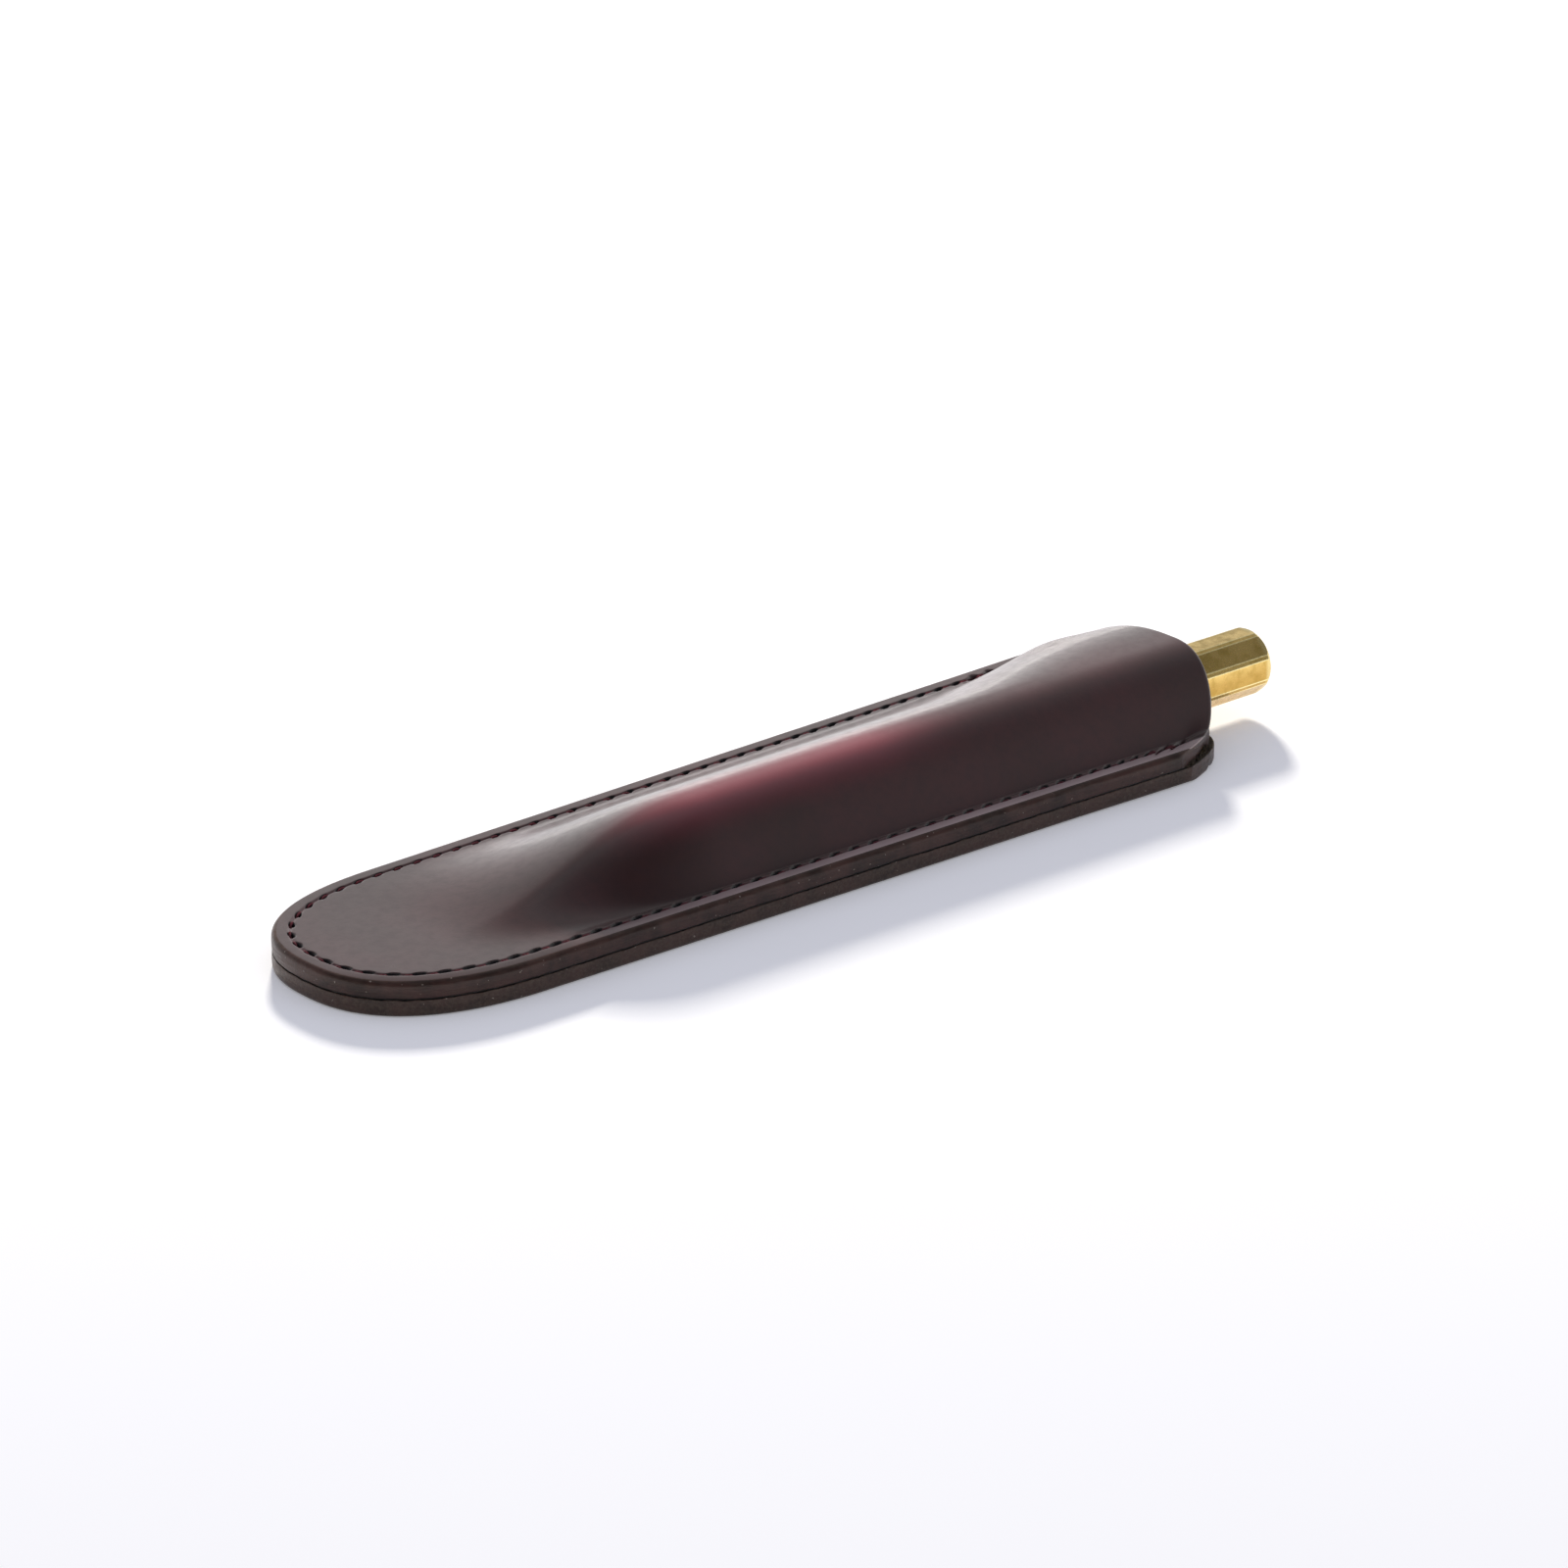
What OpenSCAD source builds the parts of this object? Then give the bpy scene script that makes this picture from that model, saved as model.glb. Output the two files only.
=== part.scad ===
// Moulded leather sleeve for one pen, lying on its back, with an octagonal brass pen in it.
// Two layers of leather are glued and stitched round both sides and the rounded closed end.
// X runs from the closed end to the open mouth, Z points up out of the moulded front,
// and the origin is the middle of the back face that the sleeve lies on. Lengths are in mm.

/* [Sleeve] */
// Length from the closed end to the middle of the mouth
sleeve_l = 157; // [145:1:175]
// Width that the sides would have at the closed end, before it is rounded
end_w = 39.5; // [38:0.5:44]
// Width of the sleeve at its mouth
mouth_w = 45; // [43:0.5:50]
// Length of the rounded closed end
end_l = 27.5; // [22:0.5:34]
// How far the mouth's near corner falls back behind its middle
mouth_fall = 13.5; // [4:0.5:16]
// How far its far corner falls back
far_fall = 3.2; // [2:0.2:14]

/* [Leather] */
// Thickness of each of the two layers
leather_t = 2.6; // [2:0.1:3]
// Thickness of the cement between the layers
cement_t = 0.1; // [0.05:0.05:0.3]
// Rounding of the burnished outer edges
edge_r = 0.7; // [0.3:0.1:1]

/* [Seam] */
// Distance of the stitches from the edge
seam_inset = 2.55; // [2.2:0.05:4]
// Flat leather between the stitches and the foot of the moulded front
foot_gap = 0.85; // [0.8:0.05:2]
// Length of one stitch
stitch_pitch = 3.55; // [2.5:0.05:5]
// Thickness of the thread
thread_d = 0.7; // [0.5:0.05:0.8]
// Distance of the seam's two ends from the middle of the mouth
seam_stop = 13; // [12:0.5:20]
// Stitches that are sewn over again at each end of the seam
tack_count = 2; // [1:1:4]

/* [Pocket] */
// Length over which the front rises from flat leather to the pen
rise_l = 48; // [34:1:52]
// Sideways place of the moulded crest
crest_y = -6.2; // [-7:0.1:-4]
// Room above the pen under the crest
pen_room = 0.45; // [0.35:0.05:2]

/* [Pen] */
// Width of the octagonal pen across its flats
pen_flats = 9.6; // [9:0.1:11]
// Length of the pen with its cap on
pen_l = 112; // [100:1:125]
// Length of the cap
cap_l = 50; // [46:1:56]
// How far the pen stands out of the middle of the mouth
pen_out = 16.4; // [12:0.1:24]
// Sideways place of the pen in the pocket
pen_y = -6; // [-7:0.5:0]
// Width of the bevel along each of the pen's eight edges
pen_bevel = 0.7; // [0.2:0.05:0.8]
// Rounding of the pen's two ends
pen_end_r = 1.9; // [1:0.1:2.4]
// Thickness of the trim ring between cap and barrel
ring_t = 0.8; // [0.5:0.1:1.5]

/* [Refill] */
// Diameter of the refill tube
refill_d = 5.9; // [5:0.1:5.9]
// Room behind the refill for its spring
spring_room = 4.1; // [3:0.1:8]
// Room in front of the point in the cap
cap_room = 4.5; // [3:0.1:8]
// How far the point stands out of the grip
point_out = 4.5; // [3:0.5:6]

/* [Hidden] */
$fn = 48;

// Shape numbers of the outline and of the moulded section
end_round = 2.4;
mouth_round = 6.5;
fall_l = 40;
far_round = 6.8;
far_fall_l = 20;
crown_near = 2.7;
foot_near = 1.25;
foot_early = 4;
crown_far = 1.5;
foot_far = 1.42;
// The same two numbers at the mouth, where the far side stands as full as an arch
flare_l = 44;
mouth_crown = 2.5;
mouth_foot = 1.21;
// Share of the fall that the back layer has, whose corners stand out a little beyond the front's
back_fall = 0.85;
spine_x0 = 16;

// Heights of the stack
film_z0 = leather_t;
film_z1 = film_z0 + cement_t;
flange_z = film_z1 + leather_t;
film_inset = 0.15;
pocket_inset = seam_inset + foot_gap;

// Grooves that the threads lie in
crease_w = 0.55;
crease_d = 0.3;
bed_room = 0.25;
bed_wall = 0.1;
bed_w = thread_d / 2 + bed_room;
bed_d = thread_d + 2 * bed_wall;
strand_lift = 0.1;
bed_gap = 0.02;
over_z = flange_z + strand_lift;
under_z = bed_d - thread_d / 2 - bed_gap;
round_in = edge_r * 0.3;

// Pen in the pocket
pen_gap = 0.15;
pen_z = film_z0 + pen_gap + pen_flats / 2;
pen_x0 = sleeve_l + pen_out - pen_l;
crest_z = pen_z + pen_flats / 2 + pen_room + leather_t;
crest_h = crest_z - flange_z;
rise_gap = 3.5;
rise_x1 = pen_x0 + rise_gap;
rise_x0 = rise_x1 - rise_l;

// Pen pieces, along the pen from its inner end
barrel_l = pen_l - cap_l - ring_t;
cap_p = barrel_l + ring_t;
wall_t = 1;
bore_d = pen_flats - 2 * wall_t;
tail_t = 2.4;
fit = 0.05;
tenon_l = 9;
grip_step = 0.1;
grip_taper = 0.35;
grip_d = bore_d - 2 * grip_step;
grip_front_d = grip_d - 2 * grip_taper;
passage_play = 0.1;
passage_d = refill_d + 2 * passage_play;
groove_t = 0.45;
groove_d = grip_d - 2 * groove_t;
oring_wire = 0.48;
oring_at = 4;
oring_room = 0.1;
liner_t = 0.25;
liner_back = 0.6;
liner_d0 = grip_d + 2 * fit;
liner_d1 = liner_d0 + 2 * liner_t;
ring_step = 0.25;
crown_t = 3.5;
pad_t = 1.5;
through = 1;

// Refill pieces, which take what room the pen leaves them
point_d = 2.4;
point_l = 11;
point_cone = 3;
point_play = 0.15;
ball_d = 0.7;
ball_play = 0.01;
ball_lip = 0.12;
ball_seat = ball_d * 0.3;
ink_way = 0.5;
refill_p1 = pen_l - crown_t - pad_t - cap_room;
refill_p0 = tail_t + spring_room;
refill_l = refill_p1 - refill_p0;
nose_p = refill_p1 - point_out;
grip_l = nose_p - cap_p;
tip_l = 6;
bead_l = 1.5;
bead_h = 0.2;
nose_t = 0.6;
plug_l = 5;
plug_rim = 1;
tube_t = 0.35;
tube_l = refill_l - point_l - plug_rim;
cone_l = 3;
cone_t = 0.5;
neck_t = 0.6;
neck_l = 1;
ink_gap = 0.5;
spring_wire = 0.4;
spring_turns = 4;
spring_gap = 0.05;
spring_step = 0.6;
spring_d = refill_d - 2 * spring_step;

// Faces of the meshes
side_count = 22;
end_count = 12;
dome_steps = [0, 0.05, 0.11, 0.18, 0.26, 0.35, 0.46, 0.58, 0.72, 0.86, 1];
back_steps = [0.07, 0.18, 0.35, 0.6, 1];
tube_sides = 6;
coil_sides = 8;

// Plan of the sleeve, with x from the closed end
function smooth(t) = t <= 0 ? 0 : t >= 1 ? 1 : t * t * t * (10 - 15 * t + 6 * t * t);
function half_w(x) = (end_w + (mouth_w - end_w) * x / sleeve_l) / 2;
function end_share(x) = x >= end_l ? 1 : pow(1 - pow(1 - max(x, 0) / end_l, end_round), 1 / end_round);
function fall(x, y) = y > 0
    ? far_fall * smooth((x - sleeve_l + far_fall_l) / far_fall_l) * pow(y / half_w(x), far_round)
    : mouth_fall * smooth((x - sleeve_l + fall_l) / fall_l) * pow(-y / half_w(x), mouth_round);
function laid(p, share = 1) = [p[0] - share * fall(p[0], p[1]), p[1]];

// Stations of the rim, from the mouth's near corner round the closed end to its far corner
near_side = [for (i = [0:side_count - 1])
    let (x = sleeve_l - (sleeve_l - end_l) * i / side_count) [x, -half_w(x)]];
near_end = [for (i = [0:end_count])
    let (a = 90 - 90 * i / end_count, x = end_l * (1 - pow(cos(a), 2 / end_round)))
    [x, -half_w(x) * pow(sin(a), 2 / end_round)]];
near_rim = concat(near_side, near_end);
tip = side_count + end_count;
rim = concat(near_rim, [for (i = [tip - 1:-1:0]) [near_rim[i][0], -near_rim[i][1]]]);
last = len(rim) - 1;
function along(i) = rim[min(i + 1, last)] - rim[max(i - 1, 0)];
function inward(i) = let (t = along(i)) [t[1], -t[0]] / norm(t);
function inset(i, d) = rim[i] + inward(i) * d;
function spine(i) = let (x = rim[i][0])
    [x >= end_l ? x : spine_x0 + (end_l - spine_x0) * x / end_l, 0];

// Height of the moulded front above the flat margin
function rise(x) = smooth((x - rise_x0) / rise_l);
function foot_w(x) = max(half_w(x) * end_share(x) - pocket_inset, 1);
function flare(x) = smooth((x - sleeve_l + flare_l) / flare_l);
function falling(t, power, foot) = pow(1 - pow(min(t, 1), power), foot);
function crown(x, y) = y > crest_y
    ? falling((y - crest_y) / (foot_w(x) - crest_y), crown_far + (mouth_crown - crown_far) * flare(x),
        foot_far + (mouth_foot - foot_far) * flare(x))
    : falling((crest_y - y) / (foot_w(x) + crest_y), crown_near,
        foot_near + foot_early * (1 - rise(x)));
function dome(x, y) = crest_h * rise(x) * crown(x, y);
nudge = 0.02;
function lean(x, y) = [(dome(x + nudge, y) - dome(x - nudge, y)) / (2 * nudge),
    (dome(x, y + nudge) - dome(x, y - nudge)) / (2 * nudge)];
function over(p) = concat(laid(p), flange_z + dome(p[0], p[1]));
function under(p) = let (g = lean(p[0], p[1]), n = [-g[0], -g[1], 1] / norm([g[0], g[1], 1]),
    q = over(p) - n * leather_t) [q[0], q[1], max(q[2], film_z1)];
function flat(i, d, z) = concat(laid(inset(i, d)), z);
function low_flat(i, d, z) = concat(laid(inset(i, d), back_fall), z);
function across(i, s) = let (p = inset(i, pocket_inset)) p + (spine(i) - p) * s;

// One strip of each panel from the rim to the spine: its outer row, then its inner row
function front_outer(i) = concat(
    [flat(i, 0, film_z1), flat(i, 0, flange_z - edge_r), flat(i, round_in, flange_z - round_in),
        flat(i, edge_r, flange_z), flat(i, seam_inset - crease_w, flange_z),
        flat(i, seam_inset, flange_z - crease_d), flat(i, seam_inset + crease_w, flange_z)],
    [for (s = dome_steps) over(across(i, s))]);
function front_inner(i) = concat(
    [for (k = [0:2]) flat(i, 0, film_z1)],
    [for (d = [edge_r, seam_inset - crease_w, seam_inset, seam_inset + crease_w]) flat(i, d, film_z1)],
    [for (s = dome_steps) under(across(i, s))]);
function back_outer(i) = concat(
    [low_flat(i, 0, film_z0), low_flat(i, 0, edge_r), low_flat(i, round_in, round_in), low_flat(i, edge_r, 0),
        low_flat(i, seam_inset - bed_w, 0), low_flat(i, seam_inset - bed_w + bed_wall, bed_d),
        low_flat(i, seam_inset + bed_w - bed_wall, bed_d), low_flat(i, seam_inset + bed_w, 0)],
    [for (s = back_steps) concat(laid(across(i, s), back_fall), 0)]);
function back_inner(i) = concat(
    [for (k = [0:2]) low_flat(i, 0, film_z0)],
    [for (d = [edge_r, seam_inset - bed_w, seam_inset - bed_w + bed_wall, seam_inset + bed_w - bed_wall,
        seam_inset + bed_w]) low_flat(i, d, film_z0)],
    [for (s = back_steps) concat(laid(across(i, s), back_fall), film_z0)]);

// Closed shell from the strips of all stations. Both sides share the corners on the spine.
module strips(outer, inner, flip) {
    n = len(outer[0]);
    points = concat([for (i = [0:last]) each outer[i]], [for (i = [0:last]) each inner[i]]);
    function shared(i, k) = (k == n - 1 ? min(i, last - i) : i) * n + k;
    function low(i, k) = k < 3 ? shared(i, 0) : (last + 1) * n + shared(i, k);
    function quad(near, a, b, c, d) = near ? [[a, b, c], [a, c, d]] : [[a, b, d], [b, c, d]];
    skins = [for (i = [0:last - 1]) for (k = [0:n - 2])
        each concat(quad(i < tip, shared(i, k), shared(i, k + 1), shared(i + 1, k + 1), shared(i + 1, k)),
            quad(i < tip, low(i, k), low(i + 1, k), low(i + 1, k + 1), low(i, k + 1)))];
    ends = [for (k = [0:n - 2]) each concat(
        quad(true, shared(0, k), low(0, k), low(0, k + 1), shared(0, k + 1)),
        quad(true, shared(last, k), shared(last, k + 1), low(last, k + 1), low(last, k)))];
    faces = [for (f = concat(skins, ends)) if (f[0] != f[1] && f[1] != f[2] && f[2] != f[0])
        flip ? [f[2], f[1], f[0]] : f];
    polyhedron(points, faces);
}

// Seam line with the length run along it
seam_x = sleeve_l - seam_stop;
least_step = 1;
seam_body = [for (i = [0:last]) if (rim[i][0] < seam_x - least_step) inset(i, seam_inset)];
seam = concat([[seam_x, seam_inset - half_w(seam_x)]], seam_body, [[seam_x, half_w(seam_x) - seam_inset]]);
seam_run = [for (i = 0, s = 0; i < len(seam);
    s = s + (i + 1 < len(seam) ? norm(seam[i + 1] - seam[i]) : 0), i = i + 1) s];
seam_l = seam_run[len(seam) - 1];
run_x = [for (i = [0:len(seam) - 1]) [seam_run[i], seam[i][0]]];
run_y = [for (i = [0:len(seam) - 1]) [seam_run[i], seam[i][1]]];
function seam_at(s) = [lookup(s, run_x), lookup(s, run_y)];
stitch_count = floor(seam_l / stitch_pitch);
pitch = seam_l / stitch_count;
leg_gap = thread_d * 0.6;
bend_l = thread_d * 0.8;
bend_share = 0.12;
tack_shift = thread_d * 0.55;

// Tube swept along points in space, one ring at each
module tube(path, d, side) {
    m = len(path);
    points = [for (i = [0:m - 1])
        let (a = path[max(i - 1, 0)], b = path[min(i + 1, m - 1)], t = (b - a) / norm(b - a),
            u = side - t * (side * t), v = cross(t, u / norm(u)))
        for (k = [0:tube_sides - 1]) let (w = 360 * k / tube_sides)
            path[i] + (u / norm(u) * cos(w) + v * sin(w)) * d / 2];
    walls = [for (i = [0:m - 2]) for (k = [0:tube_sides - 1])
        let (a = i * tube_sides, k2 = (k + 1) % tube_sides)
        each [[a + k, a + tube_sides + k, a + k2], [a + k2, a + tube_sides + k, a + tube_sides + k2]]];
    first_cap = [for (k = [1:tube_sides - 2]) [0, k, k + 1]];
    last_cap = [for (k = [1:tube_sides - 2]) let (a = (m - 1) * tube_sides) [a, a + k + 1, a + k]];
    polyhedron(points, concat(walls, first_cap, last_cap));
}

// One stitch: a strand that lies on the leather, with a leg down each hole to the middle of the stack
module stitch(i, shift, strand_z, mid_z) {
    a = seam_at(i * pitch);
    b = seam_at((i + 1) * pitch);
    t = (b - a) / norm(b - a);
    side = [-t[1], t[0]];
    p = a + t * leg_gap + side * shift;
    q = b - t * leg_gap + side * shift;
    bend = t * bend_l;
    turn = (mid_z - strand_z) * bend_share;
    tube([concat(p, mid_z), concat(p, strand_z + turn), concat(p + bend, strand_z),
        concat(q - bend, strand_z), concat(q, strand_z + turn), concat(q, mid_z)],
        thread_d, concat(side, 0));
}
function tacked(i) = i < tack_count || i >= stitch_count - tack_count;
seam_mid_z = (film_z0 + film_z1) / 2;
module row(strand_z) {
    for (i = [0:stitch_count - 1]) stitch(i, tacked(i) ? -tack_shift : 0, strand_z, seam_mid_z);
}
module tack(first) {
    for (i = [first:first + tack_count - 1]) {
        stitch(i, tack_shift, over_z, seam_mid_z);
        stitch(i, tack_shift, under_z, seam_mid_z);
    }
}
module from_end() {
    translate([-sleeve_l / 2, 0, 0]) children();
}

module back_panel() {
    color("#3a2b29") from_end()
        strips([for (i = [0:last]) back_outer(i)], [for (i = [0:last]) back_inner(i)], false);
}
module cement_film() {
    color("#141010") from_end() translate([0, 0, film_z0]) linear_extrude(cement_t)
        polygon(concat([for (i = [0:last]) laid(inset(i, film_inset))],
            [for (i = [last:-1:0]) laid(inset(i, pocket_inset))]));
}
module front_panel() {
    color("#3d2c2c") from_end()
        strips([for (i = [0:last]) front_outer(i)], [for (i = [0:last]) front_inner(i)], true);
}
module needle_thread() {
    color("#2a1216") from_end() row(over_z);
}
module bobbin_thread() {
    color("#2a1216") from_end() row(under_z);
}
module backtack_near() {
    color("#2a1216") from_end() tack(0);
}
module backtack_far() {
    color("#2a1216") from_end() tack(stitch_count - tack_count);
}

// Places what follows on the pen's axis, p along it from its inner end
module on_pen(p) {
    from_end() translate([pen_x0 + p, pen_y, pen_z]) rotate([0, 90, 0]) children();
}
// Octagon of the given width across its flats, which lie on top and at the sides, corners bevelled
module octagon(w) {
    cut = pen_bevel / w * cos(22.5) * 180 / PI;
    polygon([for (i = [0:7]) for (s = [-1, 1]) let (a = 22.5 + 45 * i + s * cut)
        w / 2 / cos(22.5 - cut) * [cos(a), sin(a)]]);
}
// Octagonal bar of length l whose top end is rounded
module rounded_bar(l) {
    r = pen_flats / 2 / cos(22.5);
    intersection() {
        linear_extrude(l) octagon(pen_flats);
        rotate_extrude() polygon(concat([[0, 0], [r, 0], [r, l - pen_end_r]],
            [for (a = [15:15:75]) [r - pen_end_r * (1 - cos(a)), l - pen_end_r * (1 - sin(a))]],
            [[r - pen_end_r, l], [0, l]]));
    }
}

module barrel_shell() {
    color("#b08d3e") on_pen(barrel_l) mirror([0, 0, 1]) difference() {
        rounded_bar(barrel_l);
        translate([0, 0, -through]) cylinder(d = bore_d, h = barrel_l - tail_t + through);
    }
}
module refill_spring() {
    rise_all = spring_room - spring_wire - 2 * spring_gap;
    steps = spring_turns * coil_sides;
    color("silver") on_pen(tail_t + spring_wire / 2 + spring_gap)
        tube([for (i = [0:steps]) let (a = 360 * i / coil_sides)
            [cos(a) * spring_d / 2, sin(a) * spring_d / 2, rise_all * i / steps]], spring_wire, [0, 0, 1]);
}
module refill_plug() {
    color("#30343a") on_pen(refill_p0) union() {
        cylinder(d = refill_d, h = plug_rim);
        cylinder(d = refill_d - 2 * tube_t, h = plug_l);
    }
}
module refill_tube() {
    color("silver") on_pen(refill_p0 + plug_rim) rotate_extrude() polygon([
        [refill_d / 2 - tube_t, 0], [refill_d / 2, 0], [refill_d / 2, tube_l - cone_l],
        [point_d / 2 + neck_t, tube_l], [point_d / 2, tube_l], [point_d / 2, tube_l - neck_l],
        [refill_d / 2 - tube_t, tube_l - cone_l - cone_t]]);
}
module ink_fill() {
    color("#1b2a6b") on_pen(refill_p0 + plug_l)
        cylinder(d = refill_d - 2 * tube_t, h = refill_l - point_l - cone_l - cone_t - ink_gap - plug_l);
}
module refill_point() {
    color("#c9b27a") on_pen(refill_p1 - point_l) difference() {
        rotate_extrude() polygon([[0, -neck_l], [point_d / 2, -neck_l], [point_d / 2, point_l - point_cone],
            [ball_d / 2 + ball_lip, point_l - ball_seat], [0, point_l - ball_seat]]);
        translate([0, 0, point_l - ball_d / 2]) sphere(d = ball_d + 2 * ball_play);
        translate([0, 0, -neck_l - through])
            cylinder(d = ink_way, h = point_l - ball_d / 2 + neck_l + through);
    }
}
module refill_ball() {
    color("#777777") on_pen(refill_p1 - ball_d / 2) sphere(d = ball_d);
}
module section_grip() {
    nose_d = point_d + 2 * point_play;
    tail = -ring_t - tenon_l;
    passage_end = grip_l + point_out - point_l + passage_play;
    groove = [oring_at - oring_wire / 2 - oring_room, oring_at + oring_wire / 2 + oring_room];
    color("#b08d3e") on_pen(cap_p) difference() {
        rotate_extrude() polygon([[0, tail], [bore_d / 2 - fit, tail], [bore_d / 2 - fit, 0],
            [grip_d / 2, 0], [grip_d / 2, groove[0]], [groove_d / 2, groove[0]],
            [groove_d / 2, groove[1]], [grip_d / 2, groove[1]], [grip_d / 2, grip_l / 3],
            [grip_front_d / 2, grip_l - tip_l], [grip_front_d / 2 + bead_h, grip_l - tip_l + bead_l],
            [nose_d / 2 + nose_t, grip_l], [0, grip_l]]);
        translate([0, 0, tail - through]) cylinder(d = passage_d, h = passage_end - tail + through);
        cylinder(d = nose_d, h = grip_l + through);
    }
}
module section_oring() {
    color("#111111") on_pen(cap_p + oring_at) rotate_extrude()
        translate([groove_d / 2 + oring_wire / 2, 0]) circle(d = oring_wire, $fn = 24);
}
module centre_ring() {
    color("#8c6d2c") on_pen(barrel_l) difference() {
        linear_extrude(ring_t) octagon(pen_flats - 2 * ring_step);
        translate([0, 0, -through]) cylinder(d = bore_d, h = ring_t + 2 * through);
    }
}
module cap_shell() {
    color("#b99a48") on_pen(cap_p) difference() {
        rounded_bar(cap_l);
        translate([0, 0, -through]) cylinder(d = liner_d1, h = cap_l - crown_t + through);
    }
}
module cap_liner() {
    color("#202020") on_pen(cap_p + liner_back) difference() {
        cylinder(d = liner_d1, h = cap_l - crown_t - pad_t - liner_back);
        translate([0, 0, -through]) cylinder(d = liner_d0, h = cap_l);
    }
}
module cap_pad() {
    color("#4a4a4a") on_pen(pen_l - crown_t - pad_t) cylinder(d = liner_d1, h = pad_t);
}

back_panel();
cement_film();
front_panel();
needle_thread();
bobbin_thread();
backtack_near();
backtack_far();
barrel_shell();
refill_spring();
refill_plug();
refill_tube();
ink_fill();
refill_point();
refill_ball();
section_grip();
section_oring();
centre_ring();
cap_shell();
cap_liner();
cap_pad();
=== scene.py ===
"""Looks of a moulded leather sleeve for one pen, with an octagonal brass pen in it.

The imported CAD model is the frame. The two layers of leather and the threads are rebuilt here from the same
sizes and rules as the part's source, and the pen's own pieces keep their CAD meshes with better finishes.
Sizes of the sleeve are in millimetres, measured from its closed end; a mesh is turned to metres in the
frame's own axes when it is made.
"""

import logging
import math
from dataclasses import dataclass, field
from enum import Enum

import bpy
import numpy as np
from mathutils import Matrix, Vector


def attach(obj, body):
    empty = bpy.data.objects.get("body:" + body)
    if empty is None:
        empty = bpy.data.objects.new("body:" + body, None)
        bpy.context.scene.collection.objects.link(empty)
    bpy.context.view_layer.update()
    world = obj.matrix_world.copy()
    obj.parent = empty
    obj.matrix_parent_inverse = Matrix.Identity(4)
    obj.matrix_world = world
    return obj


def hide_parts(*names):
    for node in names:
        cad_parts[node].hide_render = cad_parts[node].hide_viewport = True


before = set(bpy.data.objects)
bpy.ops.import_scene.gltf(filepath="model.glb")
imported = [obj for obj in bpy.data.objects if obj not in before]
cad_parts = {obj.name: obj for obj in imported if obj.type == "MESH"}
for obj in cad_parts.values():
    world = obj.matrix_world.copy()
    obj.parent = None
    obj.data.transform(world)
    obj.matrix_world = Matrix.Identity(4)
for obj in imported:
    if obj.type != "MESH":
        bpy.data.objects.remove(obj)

LOG = logging.getLogger("pen_sleeve")
MM = 0.001
GUIDE_UV = "seam_guide"
NO_GUIDE = -50.0
Rows = np.ndarray


class Body(Enum):
    """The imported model's bodies that a piece can ride on."""

    SLEEVE = "sleeve"
    PEN = "pen"
    CAP = "cap"


class Side(Enum):
    """Which layer of the sleeve a leather panel is."""

    FRONT = "front"
    BACK = "back"


class Skin(Enum):
    """Number of the material on each part of a leather panel."""

    GRAIN = 0
    EDGE = 1
    FLESH = 2


def linear(hex_code: str, alpha: float = 1.0) -> tuple[float, float, float, float]:
    """Turns an sRGB hex colour to Blender's linear values.

    Args:
        hex_code: Colour such as "#3f2226".
        alpha: Fourth value of the result.

    Returns:
        Linear red, green and blue, and alpha.
    """
    parts = [int(hex_code[i : i + 2], 16) / 255 for i in (1, 3, 5)]
    red, green, blue = (c / 12.92 if c <= 0.04045 else ((c + 0.055) / 1.055) ** 2.4 for c in parts)
    return red, green, blue, alpha


def add(
    tree: bpy.types.NodeTree, kind: str, inputs: dict | None = None, **settings: object
) -> bpy.types.Node:
    """Adds a node with its settings and links.

    Args:
        tree: Node tree that gets the node.
        kind: Blender's type name of the node.
        inputs: Input name or number, with a value, or with the wire or node (its first output) that feeds it.
        settings: Attributes of the node itself, set before its inputs.

    Returns:
        The new node.
    """
    node = tree.nodes.new(kind)
    for key, value in settings.items():
        setattr(node, key, value)
    for key, value in (inputs or {}).items():
        if isinstance(value, bpy.types.Node):
            value = Wire(value)
        if isinstance(value, Wire):
            tree.links.new(value.node.outputs[value.key], node.inputs[key])
        else:
            node.inputs[key].default_value = value
    return node


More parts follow.
